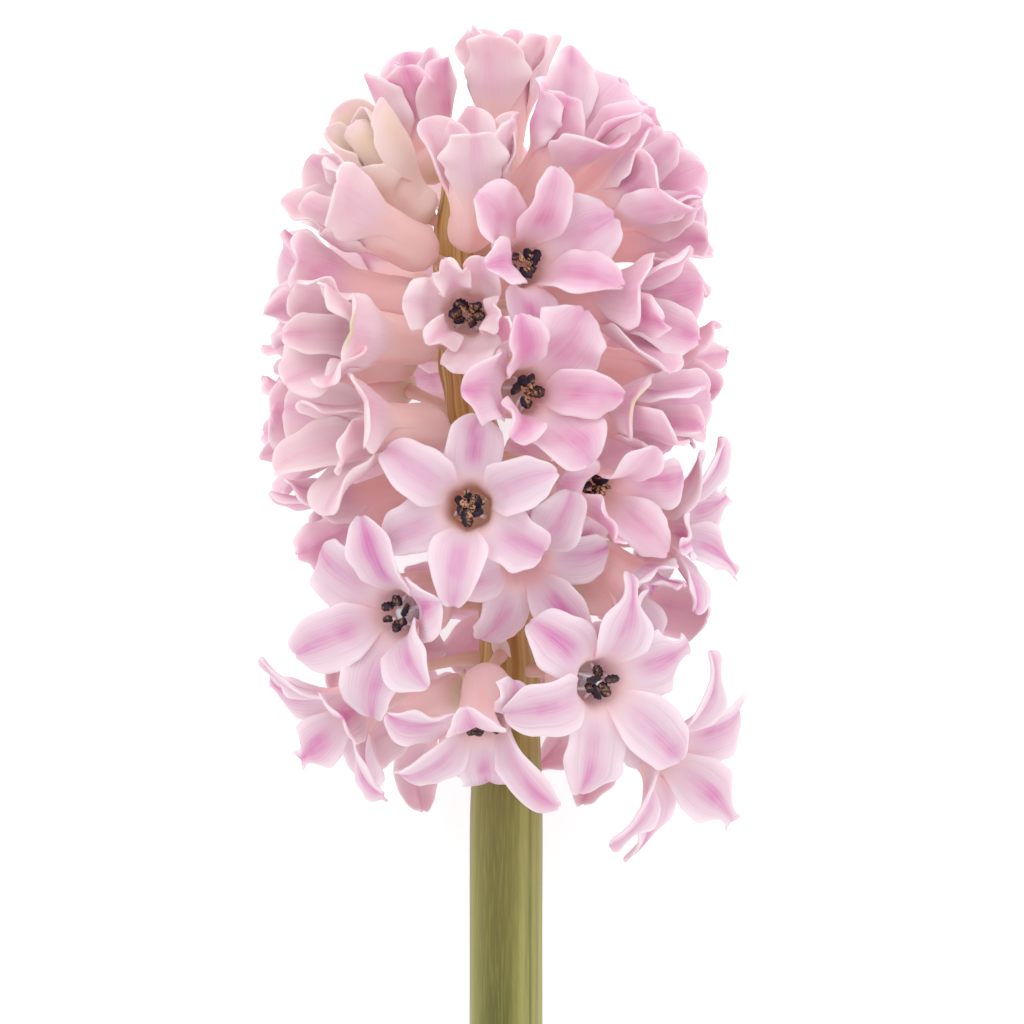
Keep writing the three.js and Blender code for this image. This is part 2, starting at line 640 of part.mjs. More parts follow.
/** A small curled leaf, rooted in the stalk. */
function bractSolid(bract) {
  const { centre, radius } = stalkAt(bract.height);
  const { axis, right } = facing(bract.turn, 0);
  const root = centre.clone().addScaledVector(axis, radius * ROOT_DEPTH);
  const bend = root.clone().addScaledVector(axis, radius * (1 - ROOT_DEPTH) + bract.away);
  const tip = bend.clone().add(vector(0, bract.length, 0)).addScaledVector(right, bract.aside);
  const curve = new THREE.QuadraticBezierCurve3(root, bend, tip);
  return loftedSolid(BRACT_ROWS.map(({ along, width }) => {
    const tangent = curve.getTangentAt(along);
    const flat = right.clone().addScaledVector(tangent, -right.dot(tangent)).normalize();
    const thick = tangent.clone().cross(flat);
    const middle = curve.getPointAt(along);
    const reach = bract.halfWidth * width;
    return [
      middle.clone().addScaledVector(flat, reach),
      middle.clone().addScaledVector(thick, BRACT_HALF_THICKNESS),
      middle.clone().addScaledVector(flat, -reach),
      middle.clone().addScaledVector(thick, -BRACT_HALF_THICKNESS),
    ];
  }));
}

/** Stalk, pedicels and bracts as one body. */
function stalkGeometry(florets) {
  const grown = [...florets.map(pedicelSolid), ...BRACTS.map(bractSolid)];
  const mesh = grown.reduce((joined, solid) => joined.add(solid), stalkSolid()).getMesh();
  const geometry = new THREE.BufferGeometry();
  geometry.setAttribute('position', new THREE.BufferAttribute(mesh.vertProperties, 3));
  geometry.setIndex(Array.from(mesh.triVerts));
  return geometry;
}

/** A named mesh for one piece. */
function piece(name, geometry, material) {
  geometry.computeVertexNormals();
  const mesh = new THREE.Mesh(geometry, material);
  mesh.name = name;
  return mesh;
}

const florets = arrangedFlorets();
const group = new THREE.Group();
group.add(piece('stalk', stalkGeometry(florets), STALK_GREEN));
florets.forEach((floret) => {
  group.add(piece(`floret_${floret.name}`, floretGeometry(floret), WAXY_PINK));
  if (floret.stamens) group.add(piece(`stamens_${floret.name}`, stamenGeometry(floret), ANTHER_PURPLE));
});

// The origin is on the surface, under the middle of the flower.
group.rotation.x = REST_TILT;
group.updateMatrixWorld(true);
const extent = new THREE.Box3().setFromObject(group, true);
group.position.set(
  -(extent.min.x + extent.max.x) / 2,
  -(extent.min.y + extent.max.y) / 2,
  SURFACE_OFFSET,
);

export default group;
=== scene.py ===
"""Looks of a cut hyacinth spike that lies on a pale table.

Every length is in millimetres in the flower's own frame (x to the right, y up the stalk, z towards
the viewer) until a mesh is made. FlowerFrame then turns it into metres in the part's frame.
"""

import json
import logging
import math
from dataclasses import dataclass, field, replace
from enum import Enum, IntEnum
from itertools import product

import bpy
import numpy as np
from mathutils import Matrix, Vector

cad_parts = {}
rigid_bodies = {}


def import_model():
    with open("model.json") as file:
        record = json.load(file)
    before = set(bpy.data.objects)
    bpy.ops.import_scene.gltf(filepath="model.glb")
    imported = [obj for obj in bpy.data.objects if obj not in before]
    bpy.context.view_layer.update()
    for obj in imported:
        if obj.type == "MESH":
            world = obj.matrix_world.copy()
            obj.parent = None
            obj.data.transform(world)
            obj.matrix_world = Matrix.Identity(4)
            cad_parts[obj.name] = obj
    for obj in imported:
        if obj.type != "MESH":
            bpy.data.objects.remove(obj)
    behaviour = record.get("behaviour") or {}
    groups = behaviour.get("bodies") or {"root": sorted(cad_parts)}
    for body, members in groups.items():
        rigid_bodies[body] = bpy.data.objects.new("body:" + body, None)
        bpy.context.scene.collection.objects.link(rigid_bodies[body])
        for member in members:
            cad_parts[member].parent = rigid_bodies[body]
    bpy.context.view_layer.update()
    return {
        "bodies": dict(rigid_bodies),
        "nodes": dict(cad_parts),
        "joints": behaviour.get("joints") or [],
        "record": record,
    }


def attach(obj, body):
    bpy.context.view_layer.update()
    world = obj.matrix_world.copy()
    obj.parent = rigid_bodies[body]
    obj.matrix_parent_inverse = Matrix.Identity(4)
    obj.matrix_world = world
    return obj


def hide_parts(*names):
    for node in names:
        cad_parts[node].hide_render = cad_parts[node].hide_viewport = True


LOG = logging.getLogger("hyacinth")
MILLIMETRE = 0.001
Array = np.ndarray
Colour = tuple[float, float, float, float]
WHITE = (1.0, 1.0, 1.0, 1.0)

# The view that the flower was laid out from
PIXELS_PER_MM = 5.8
PICTURE_SIZE = 1024
STALK_PIXEL_X = 506
REST_TILT = math.radians(9.5)
CUT_END_Y = -72.0
HEAD_MIDDLE = (0.0, 90.0, 0.0)
TARGET_HEIGHT = 8.0

# The sizes that the florets share with their solids
TUBE_LENGTH = 12.5
MOUTH_RADIUS = 4.6
MOUTH_WALL = 0.65
THROAT_DEPTH = 6.6
THROAT_SHARE = 0.55
TUBE_BASE_RADIUS = 1.8
LOBES = 6
LOBE_LENGTH = 17.0
SHOWN_LOBE_SHARE = 0.88
LOBE_HALF_WIDTH = 5.1
OUTER_LOBE_WIDTH = 1.03
INNER_LOBE_WIDTH = 0.94
LOBE_ROWS = (0.16, 0.4, 0.65, 0.87)
WHORL_OFFSET = 0.7
ROOT_WRAP = 0.48
TIGHTEST_WRAP = 2.6
OPEN_CHANNEL_RADIUS = 11.0
RAIL_STEPS = 24
LENGTH_CHANCE = 0.12
SWAY_CHANCE = 10.0
CLOSED_CHANCE = 0.04
OPEN_CHANCE = 0.14
OUTER_OPENS_MORE = 0.04
BEND_AT_ROOT = 0.35
LENGTH_DRAW = 1
OPENING_DRAW = 2
SWAY_DRAW = 3
SHORTEST_PEDICEL = 3.0
ROOT_BELOW_MOUTH = 14.0
LOWEST_ROOT = 46.0
HIGHEST_ROOT = 149.0
ROOT_DEPTH = 0.6
SUPPORT_BEND = 0.55
# A lobe's angle from its floret's axis at its root, middle and tip, by how open the floret is
OPENNESS = (0.0, 0.3, 0.5, 0.75, 1.0, 1.3)
ROOT_ANGLES = (9.0, 15.0, 20.0, 33.0, 50.0, 62.0)
MIDDLE_ANGLES = (1.0, 11.0, 25.0, 50.0, 86.0, 104.0)
TIP_ANGLES = (-16.0, 26.0, 62.0, 105.0, 138.0, 170.0)
# How a lobe or a pedicel may have given way to its neighbours
LOBE_LENGTHS = (1.0, 0.86, 0.72, 0.6)
LOBE_OPENINGS = (0, -10, 10, -20, 20, -30, 30, -40, 40, -50, 50)
LOBE_SWAYS = (0, 8, -8, 16, -16, 24, -24)
ROOT_HEIGHTS = (0, 3, -3, 6, -6, 9, -9, 12, -12)
ROOT_TURNS = (0, 15, -15, 30, -30, 45, -45)
SAME_PLACE = 0.05
# Where a lobe of these florets has a yellow-green tip, in the picture
GREEN_TIPS = {14: (293, 297), 10: (405, 343), 28: (706, 362), 29: (597, 432)}
LOWEST_PETAL = 0.02
BACK_SIZE = 0.95
FINGERED_FLORETS = (3, 30, 31, 32, 33, 34, 35)
# Which fixed numbers the details, anthers, crumbs and finishes read
WHIM_SHIFT = 100
ANTHER_SHIFT = 300
CRUMB_SHIFT = 500
SEED_FEATURE = 50


def smoothstep(value: Array | float, low: float, high: float) -> Array:
    """A soft step.

    Args:
        value: Where to read the step.
        low: Where it leaves 0.
        high: Where it reaches 1.

    Returns:
        The step's height, from 0 to 1.
    """
    share = np.clip((np.asarray(value, float) - low) / (high - low), 0.0, 1.0)
    return share * share * (3.0 - 2.0 * share)


def lerp(low: Array | float, high: Array | float, share: Array | float) -> Array | float:
    """The value at a share of the way from low to high."""
    return low + (high - low) * share


def chance(number: int, feature: int) -> float:
    """A fixed number from 0 to 1 for a floret and one of its features."""
    value = math.sin(number * 12.9898 + feature * 78.233) * 43758.5453
    return value - math.floor(value)


def unit(vector: Array) -> Array:
    """The vector at length 1."""
    return vector / np.linalg.norm(vector, axis=-1, keepdims=True)


def picture_place(x: float, y: float) -> Array:
    """Where a spot of the picture is, across and up, in the flower's frame."""
    return np.array([(x - STALK_PIXEL_X) / PIXELS_PER_MM, (PICTURE_SIZE - y) / PIXELS_PER_MM])


def turns_round(sides: int) -> Array:
    """Angles spread evenly round a ring, in radians."""
    return np.linspace(0, 2 * math.pi, sides, endpoint=False)


def stepped(origin: Array | float, *steps: tuple[Array, Array | float]) -> Array:
    """Points that are reached from an origin by steps along directions.

    Args:
        origin: Where the steps start.
        steps: Each step's direction and size.

    Returns:
        The points.
    """
    for direction, size in steps:
        origin = origin + direction * np.asarray(size)[..., None]
    return origin


def least_cost_pairs(firsts: tuple[int, ...], seconds: tuple[int, ...]) -> list[tuple[int, int]]:
    """Pairs of two values, those that come early in both lists first.

    Args:
        firsts: The first values, the likeliest first.
        seconds: The second values, the likeliest first.

    Returns:
        Every pair.
    """
    pairs = [(i + j, a, b) for i, a in enumerate(firsts) for j, b in enumerate(seconds)]
    return [(a, b) for _, a, b in sorted(pairs, key=lambda pair: pair[0])]


@dataclass(frozen=True)
class Tint:
    """How strongly a floret is coloured.

    stripe is the pink line down each lobe, ground is how pink the rest is, cream yellows it, and
    warm is the buff of its throat.
    """

    stripe: float
    ground: float
    cream: float = 0.0
    warm: float = 0.3


class Habit(Enum):
    """The kinds of floret on the spike, from the lowest to the highest."""

    STRIPED = Tint(stripe=1.0, ground=0.3, warm=0.05)
    SHADED = Tint(stripe=0.5, ground=0.4, warm=0.05)
    BUFF_THROAT = Tint(stripe=0.9, ground=0.35, warm=1.0)
    FLUSHED = Tint(stripe=1.0, ground=0.85, warm=0.5)
    BLUSHED = Tint(stripe=0.76, ground=0.8, cream=0.06)
    PEARLY = Tint(stripe=0.5, ground=0.6, cream=0.28)
    CREAM = Tint(stripe=0.12, ground=0.3, cream=0.8)


class Whim(IntEnum):
    """The details of a lobe that its solid doesn't have, each with its own fixed number."""

    RIGHT_MARGIN = 1
    WAVE_SIZE = 2
    WAVE_TURNS = 3
    WAVE_START = 4
    WAVE_OFFSET = 5
    TWIST = 6
    TIP_CURL = 7
    POINT = 8
    FINGER = 9
    RIPPLE_SIZE = 10
    RIPPLE_START = 11
    RIPPLE_TURNS = 12
    STRIPE = 13
    GROUND = 14
    BREADTH = 15
    NOTCH = 16
    NOTCH_PLACE = 17
    LEFT_MARGIN = 18
    LEAN = 19
    HALVES = 20
    FULLNESS = 21
    FRILL_SIZE = 22
    FRILL_TURNS = 23
    TEETH = 24
    TEETH_PLACE = 25


@dataclass(frozen=True)
class Sprout:
    """Where one floret stands and how it grew.

    pixel is its mouth in the picture, depth how far that is in front of the stalk, turn and lift
    where it faces, open how far its lobes have spread and roll where the first lobe points.
    lobe_share is how long its lobes are, as a share of the usual length for its size, ruffle how
    wavy their margins are and sunk how far its anthers sit below its mouth.
    """

    pixel: tuple[int, int]
    depth: float
    turn: float
    lift: float
    open: float
    roll: float
    size: float
    habit: Habit
    stamens: bool = False
    lobe_share: float = SHOWN_LOBE_SHARE
    ruffle: float = 1.0
    sunk: float = 0.0

    def mouth(self) -> Array:
        """The middle of its mouth."""
        return np.append(picture_place(*self.pixel), self.depth)


@dataclass(frozen=True)
class BackRing:
    """Florets at one height behind the stalk."""

    height: float
    turns: tuple[float, ...]
    reach: float
    lift: float
    open: float
    habit: Habit
    stamens: bool = False


SHOWN_FLORETS = (
    Sprout((470, 507), 25, -5, 3, 0.96, 83, 0.95, Habit.BUFF_THROAT, stamens=True, lobe_share=0.8),
    Sprout((400, 612), 21, -28, -6, 0.88, 16, 1.08, Habit.STRIPED, stamens=True),
    Sprout((598, 680), 19, 28, -6, 1.0, 18, 1.08, Habit.STRIPED, stamens=True),
    Sprout((483, 720), 22, -4, -54, 0.95, 30, 1.0, Habit.STRIPED, stamens=True),
    Sprout((525, 395), 22, 26, 2, 0.7, 57, 0.97, Habit.FLUSHED, stamens=True, ruffle=1.4),
    Sprout((525, 268), 20, 28, 14, 0.66, 22, 1.0, Habit.FLUSHED, stamens=True, ruffle=1.3),
    Sprout((468, 318), 22, -4, 2, 0.54, 50, 0.7, Habit.PEARLY, stamens=True, ruffle=2.2),
    Sprout((524, 562), 17, 20, -20, 0.92, 9, 0.85, Habit.STRIPED),
    Sprout((600, 494), 17, 40, -26, 0.74, 30, 0.84, Habit.FLUSHED, stamens=True, sunk=2.6),
    Sprout((378, 340), 19, -48, 2, 0.36, 0, 1.06, Habit.PEARLY, ruffle=1.8),
    Sprout((384, 430), 20, -58, 0, 0.55, 30, 1.08, Habit.PEARLY, ruffle=1.5),
    Sprout((346, 428), 3, -84, 2, 0.5, 10, 1.03, Habit.BLUSHED),
    Sprout((366, 508), 8, -70, -24, 0.66, 40, 1.02, Habit.BLUSHED),
    Sprout((354, 294), 7, -80, 8, 0.42, 20, 1.02, Habit.BLUSHED),
    Sprout((346, 358), -6, -100, -4, 0.5, 0, 1.0, Habit.BLUSHED),
    Sprout((378, 230), 13, -64, 24, 0.26, 8, 1.0, Habit.PEARLY),
    Sprout((374, 206), -8, -95, 32, 0.3, 0, 0.9, Habit.PEARLY),
    Sprout((396, 182), 4, -50, 46, 0.05, 30, 1.0, Habit.CREAM),
    Sprout((420, 130), -5, -30, 70, 0.22, 0, 0.98, Habit.BLUSHED),
    Sprout((475, 200), 17, 0, 74, 0.28, 30, 0.92, Habit.PEARLY),
    Sprout((502, 108), 0, 10, 78, 0.32, 0, 1.0, Habit.PEARLY),
    Sprout((556, 158), 14, 30, 44, 0.46, 28, 1.1, Habit.BLUSHED),
    Sprout((590, 152), -6, 70, 50, 0.28, 0, 0.95, Habit.BLUSHED),
    Sprout((632, 190), -14, 112, 22, 0.4, 0, 0.88, Habit.BLUSHED),
    Sprout((636, 232), 0, 86, 9, 0.46, 25, 0.97, Habit.BLUSHED),
    Sprout((618, 206), 14, 56, 24, 0.46, 0, 0.95, Habit.BLUSHED),
    Sprout((605, 306), 14, 54, -4, 0.46, 26, 1.08, Habit.BLUSHED),
    Sprout((638, 372), -3, 90, -10, 0.5, 0, 1.02, Habit.BLUSHED),
    Sprout((622, 414), 15, 56, -6, 0.5, 30, 1.0, Habit.BLUSHED),
    Sprout((671, 524), -1, 70, 0, 0.8, 18, 0.95, Habit.STRIPED, stamens=True),
    Sprout((632, 584), 8, 60, -36, 0.75, 5, 0.92, Habit.STRIPED),
    Sprout((352, 710), 6, -54, -38, 0.84, 25, 1.02, Habit.STRIPED, stamens=True),
    Sprout((660, 754), 4, 54, -24, 0.9, 32, 1.1, Habit.STRIPED, stamens=True, lobe_share=1.0),
)
BACK_RINGS = (
    BackRing(53, (143, -142), 23.5, -20, 0.95, Habit.SHADED, stamens=True),
    BackRing(73, (124, 178, -120), 25, -8, 0.9, Habit.SHADED),
    BackRing(93, (148, -148), 25, 0, 0.8, Habit.SHADED),
    BackRing(112, (122, 178, -132), 25, 6, 0.6, Habit.BLUSHED),
    BackRing(130, (150, -154), 24, 22, 0.5, Habit.BLUSHED),
    BackRing(143, (176,), 21, 46, 0.35, Habit.PEARLY),
)


@dataclass
class FlowerFrame:
    """Turns the flower's own millimetres into the part's metres and back.

    The tilt is known. The rest comes from the cut end of the stalk's solid.
    """

    stalk: bpy.types.Object
    slack: float = 0.5
    offset: Array = field(init=False)

    def __post_init__(self) -> None:
        """Finds the offset from the lowest ring of the stalk."""
        places = self.solid_points(self.stalk) / MILLIMETRE
        cut_radius = Scape.radius + Scape.ridge
        low = places[:, 1].min()
        end = places[places[:, 1] < low + 2 * cut_radius * math.sin(REST_TILT) + self.slack]
        x = (end[:, 0].min() + end[:, 0].max()) / 2
        y = low - CUT_END_Y * math.cos(REST_TILT) + cut_radius * math.sin(REST_TILT)
        z = cut_radius * math.cos(REST_TILT) - CUT_END_Y * math.sin(REST_TILT)
        self.offset = np.array([x, y, z])

    @staticmethod
    def solid_points(node: bpy.types.Object) -> Array:
        """The corners of a solid, in metres.

        Args:
            node: The solid.

        Returns:
            Its corners.
        """
        flat = np.empty(len(node.data.vertices) * 3)
        node.data.vertices.foreach_get("co", flat)
        return flat.reshape(-1, 3)

    @staticmethod
    def turned() -> Array:
        """The tilt as a matrix, from the flower's frame to the part's."""
        c, s = math.cos(REST_TILT), math.sin(REST_TILT)
        return np.array([[1, 0, 0], [0, c, -s], [0, s, c]])

    def to_part(self, points: Array) -> Array:
        """Metres in the part's frame for millimetres in the flower's."""
        return (points @ self.turned().T + self.offset) * MILLIMETRE

    def to_flower(self, points: Array) -> Array:
        """Millimetres in the flower's frame for metres in the part's."""
        return (points / MILLIMETRE - self.offset) @ self.turned()

    def above_table(self, points: Array) -> Array:
        """Keeps points out of the table.

        Args:
            points: Points in the flower's frame.

        Returns:
            The points, with any that dip into the table lifted onto it.
        """
        up = self.turned()[2]
        height = points @ up + self.offset[2]
        return points + np.maximum(LOWEST_PETAL - height, 0.0)[..., None] * up


@dataclass
class Pile:
    """Points, faces and values of one mesh while it is put together."""

    points: list[Array] = field(default_factory=list)
    faces: list[list[int]] = field(default_factory=list)
    slots: list[int] = field(default_factory=list)
    values: dict[str, list[Array]] = field(default_factory=dict)
    count: int = 0

    def add(self, points: Array, faces: list[list[int]], slot: int,
            values: dict[str, Array]) -> None:
        """Adds one body.

        Args:
            points: Its points.
            faces: Its faces, numbered from its own first point.
            slot: The number of its material.
            values: For each name, three numbers for each of its points.
        """
        self.points.append(points)
        self.faces.extend([[i + self.count for i in face] for face in faces])
        self.slots.extend([slot] * len(faces))
        for name, numbers in values.items():
            self.values.setdefault(name, []).append(numbers)
        self.count += len(points)

    def loft(self, rings: Array, slot: int, values: dict[str, Array]) -> None:
        """Adds a closed body that is lofted through rings of points.

        Args:
            rings: Rings by points by three, each ring counter-clockwise seen from the next.
            slot: The number of its material.
            values: For each name, rings by points by three numbers.
        """
        count, sides = rings.shape[:2]
        ends = np.stack([rings[0].mean(0), rings[-1].mean(0)])
        first, last = count * sides, count * sides + 1
        faces = []
        for i, j in product(range(count - 1), range(sides)):
            k = (j + 1) % sides
            a, b = i * sides, (i + 1) * sides
            faces.append([a + j, a + k, b + k, b + j])
        for j in range(sides):
            k = (j + 1) % sides
            faces.append([first, k, j])
            faces.append([last, (count - 1) * sides + j, (count - 1) * sides + k])
        whole = {
            name: np.concatenate([v.reshape(-1, 3), v[0].mean(0)[None], v[-1].mean(0)[None]])
            for name, v in values.items()
        }
        self.add(np.concatenate([rings.reshape(-1, 3), ends]), faces, slot, whole)

    def made(self, name: str, frame: FlowerFrame,
             materials: list[bpy.types.Material]) -> bpy.types.Object:
        """Makes the object.

        Args:
            name: Its name.
            frame: Where the flower lies.
            materials: Its materials, in the order of the slots.

        Returns:
            The object, in the scene.
        """
        mesh = bpy.data.meshes.new(name)
        places = frame.to_part(frame.above_table(np.concatenate(self.points)))
        mesh.from_pydata(places.tolist(), [], self.faces)
        mesh.polygons.foreach_set("material_index", self.slots)
        mesh.polygons.foreach_set("use_smooth", [True] * len(self.faces))
        for key, numbers in self.values.items():
            layer = mesh.attributes.new(key, "FLOAT_VECTOR", "POINT")
            layer.data.foreach_set("vector", np.concatenate(numbers).astype(np.float32).ravel())
        for material in materials:
            mesh.materials.append(material)
        mesh.update()
        piece = bpy.data.objects.new(name, mesh)
        bpy.context.scene.collection.objects.link(piece)
        return piece


@dataclass
class Support:
    """The curve that a floret grows along: its pedicel, then the middle of its tube."""

    root: Array
    bend: Array
    mouth: Array
    parts: int = 200
    steps: Array = field(init=False)
    lengths: Array = field(init=False)

    def __post_init__(self) -> None:
        """Measures the curve."""
        self.steps = np.linspace(0.0, 1.0, self.parts + 1)
        places = self.at_step(self.steps)
        gaps = np.linalg.norm(np.diff(places, axis=0), axis=1)
        self.lengths = np.concatenate([[0.0], np.cumsum(gaps)])

    @property
    def length(self) -> float:
        """Its whole length."""
        return float(self.lengths[-1])

    def at_step(self, step: Array) -> Array:
        """Points at steps of the curve's own count, which aren't even in length."""
        t = np.atleast_1d(step)[:, None]
        return (1 - t) ** 2 * self.root + 2 * (1 - t) * t * self.bend + t**2 * self.mouth

    def at(self, share: Array) -> tuple[Array, Array]:
        """Points and directions at shares of the curve's length.

        Args:
            share: Shares from 0 at the root to 1 at the mouth.

        Returns:
            The points and the unit directions.
        """
        step = np.interp(np.atleast_1d(share) * self.length, self.lengths, self.steps)
        t = step[:, None]
        along = 2 * (1 - t) * (self.bend - self.root) + 2 * t * (self.mouth - self.bend)
        return self.at_step(step), unit(along)


@dataclass
class Lobe:
    """One of a floret's six lobes, as a surface over how far along it and across it a point is."""

    floret: "Floret"
    index: int
    opening: float = 0.0
    sway: float = 0.0
    shortened: float = 1.0
    tip_green: float = 0.0
    breadth: float = 0.0
    liveliness: float = 1.0
    out: Array = field(init=False)
    ahead: Array = field(init=False)

    def __post_init__(self) -> None:
        """Works out the rail that the lobe's middle follows."""
        steps = np.arange(RAIL_STEPS)
        angle = self.angle((steps + 0.5) / RAIL_STEPS)
        step = self.length() / RAIL_STEPS
        start = MOUTH_RADIUS - MOUTH_WALL / 2
        self.out = np.concatenate([[start], start + np.cumsum(step * np.sin(angle))])
        self.ahead = np.concatenate([[0.0], np.cumsum(step * np.cos(angle))])

    def draw(self, feature: int) -> float:
        """A fixed number from -0.5 to 0.5 for a feature of this lobe."""
        return chance(self.floret.number, self.index * 7 + feature) - 0.5

    def whim(self, feature: Whim) -> float:
        """A fixed number from 0 to 1 for a detail that the solid doesn't have."""
        return chance(self.floret.number + WHIM_SHIFT, self.index * 31 + feature)

    @property
    def inner(self) -> bool:
        """Whether it is one of the three inner lobes."""
        return self.index % 2 == 1

    def length(self) -> float:
        """Its length along its middle."""
        usual = self.floret.size * LOBE_LENGTH * self.floret.lobe_share
        return usual * self.shortened * (1 + LENGTH_CHANCE * self.draw(LENGTH_DRAW))

    def widest(self) -> float:
        """Half of its solid's greatest width."""
        share = INNER_LOBE_WIDTH if self.inner else OUTER_LOBE_WIDTH
        return self.floret.size * LOBE_HALF_WIDTH * share

    def cupped(self) -> float:
        """How much its floret is a cup, from 0 for an open star to 1."""
        return 1 - float(smoothstep(self.floret.open, 0.6, 0.92))

    def grown_width(self) -> float:
        """Half of its greatest width as grown: the outer lobes of a cup are the broadest.

        Returns:
            The half width.
        """
        wish = lerp(1.0, 0.86, self.cupped()) if self.inner else lerp(1.08, 1.36, self.cupped())
        wish = lerp(1.35, wish, smoothstep(self.floret.open, 0.08, 0.25))
        wish = self.floret.size * LOBE_HALF_WIDTH * wish * lerp(0.95, 1.05, self.whim(Whim.BREADTH))
        return lerp(min(self.widest(), wish), wish, self.breadth)

    def fine_width(self, along: Array) -> Array:
        """Half of its width, as its neighbours in the floret let it grow.

        Args:
            along: Places along it.

        Returns:
            The half width at each.
        """
        wrap = self.section(along)["wrap"]
        fullest = lerp(1.3, 1.0, smoothstep(self.floret.open, 0.08, 0.25))
        room = lerp(math.pi / LOBES, fullest, smoothstep(along, 0.0, 0.32)) / wrap
        width = np.minimum(self.grown_width() * self.outline(along), room)
        return lerp((math.pi / LOBES) / wrap, width, smoothstep(along, 0.0, 0.08))

    def spread(self) -> float:
        """How open this lobe is, from 0 for closed.

        Returns:
            Its openness, as OPENNESS counts it.
        """
        loose = lerp(CLOSED_CHANCE, OPEN_CHANCE, self.floret.open) * self.draw(OPENING_DRAW)
        loose += -OUTER_OPENS_MORE if self.inner else OUTER_OPENS_MORE
        return max(0.0, self.floret.open + loose)

    def angle(self, along: Array) -> Array:
        """Its lean from the floret's axis.

        Args:
            along: Places along it.

        Returns:
            The lean at each, in radians.
        """
        spread = self.spread()
        last = len(OPENNESS) - 2
        i = min(max(int(np.searchsorted(OPENNESS, spread)) - 1, 0), last)
        share = (spread - OPENNESS[i]) / (OPENNESS[i + 1] - OPENNESS[i])
        root = lerp(ROOT_ANGLES[i], ROOT_ANGLES[i + 1], share)
        middle = lerp(MIDDLE_ANGLES[i], MIDDLE_ANGLES[i + 1], share)
        tip = lerp(TIP_ANGLES[i], TIP_ANGLES[i + 1], share)
        bow = 2 * (root + tip - 2 * middle)
        lean = root + (tip - root - bow) * along + bow * along * along
        return np.radians(lean + self.opening * lerp(BEND_AT_ROOT, 1.0, along))

    def section(self, along: Array) -> dict[str, Array]:
        """What the lobe's cross-section is like at each place along it.

        Args:
            along: Places from 0 at the mouth to 1 at the tip.

        Returns:
            Its distances out and ahead, lean, shift of its whorl, wrap, curl and half width.
        """
        spot = along * RAIL_STEPS
        i = np.minimum(spot.astype(int), RAIL_STEPS - 1)
        share = spot - i
        out = lerp(self.out[i], self.out[i + 1], share)
        ahead = lerp(self.ahead[i], self.ahead[i + 1], share)
        second = smoothstep(along, LOBE_ROWS[0], LOBE_ROWS[1])
        whorl = smoothstep(along, 0, LOBE_ROWS[0]) + second / 2
        whorl = whorl * (-WHORL_OFFSET if self.inner else WHORL_OFFSET)
        wrap = 1 / np.maximum(out + whorl, TIGHTEST_WRAP)
        spreading = smoothstep(self.spread(), 0.2, 0.8) * smoothstep(along, 0.1, 0.5)
        curl = lerp(wrap, 1 / OPEN_CHANNEL_RADIUS, spreading)
        end = np.clip((along - 0.55) / 0.45, 0, 1)
        outline = lerp(0.47, 1.0, smoothstep(along, 0.12, 0.55))
        outline = outline * np.sqrt(np.maximum(0, 1 - end**2.4))
        width = np.minimum(self.widest() * outline, lerp(ROOT_WRAP, 1.0, second) / wrap)
        return {"out": out, "ahead": ahead, "lean": self.angle(along), "whorl": whorl,
                "wrap": wrap, "curl": curl, "width": width}

    def place(self, along: Array, lateral: Array, section: dict[str, Array]) -> tuple[Array, Array]:
        """Points of its middle surface and the directions out of its back.

        Args:
            along: Places along it.
            lateral: Distances from its middle line, measured over its curl.
            section: What section gives for the same places.

        Returns:
            The points and the unit directions.
        """
        flower = self.floret
        turned = section["curl"] * lateral
        direction = math.radians(flower.roll + 360 * self.index / LOBES) + self.sway_angle() * along
        radial = stepped(0.0, (flower.right, np.cos(direction)), (flower.up, np.sin(direction)))
        sideways = np.cross(flower.axis, radial)
        lean = section["lean"]
        offset = section["whorl"] - (1 - np.cos(turned)) / section["curl"]
        away = stepped(0.0, (radial, np.cos(lean)), (flower.axis, -np.sin(lean)))
        points = stepped(flower.mouth, (radial, section["out"]), (flower.axis, section["ahead"]),
                         (away, offset), (sideways, np.sin(turned) / section["curl"]))
        return points, stepped(0.0, (away, np.cos(turned)), (sideways, np.sin(turned)))

    def sway_angle(self) -> float:
        """How far it swings sideways by its tip, in radians."""
        return math.radians(self.sway + SWAY_CHANCE * self.draw(SWAY_DRAW))

    def solid_points(self) -> Array:
        """Three corners of its solid.

        Returns:
            The tip and one corner on each edge.
        """
        along = np.array([1.0, 0.65, 0.87])
        section = self.section(along)
        return self.place(along, section["width"] * np.array([0.0, 1.0, -1.0]), section)[0]

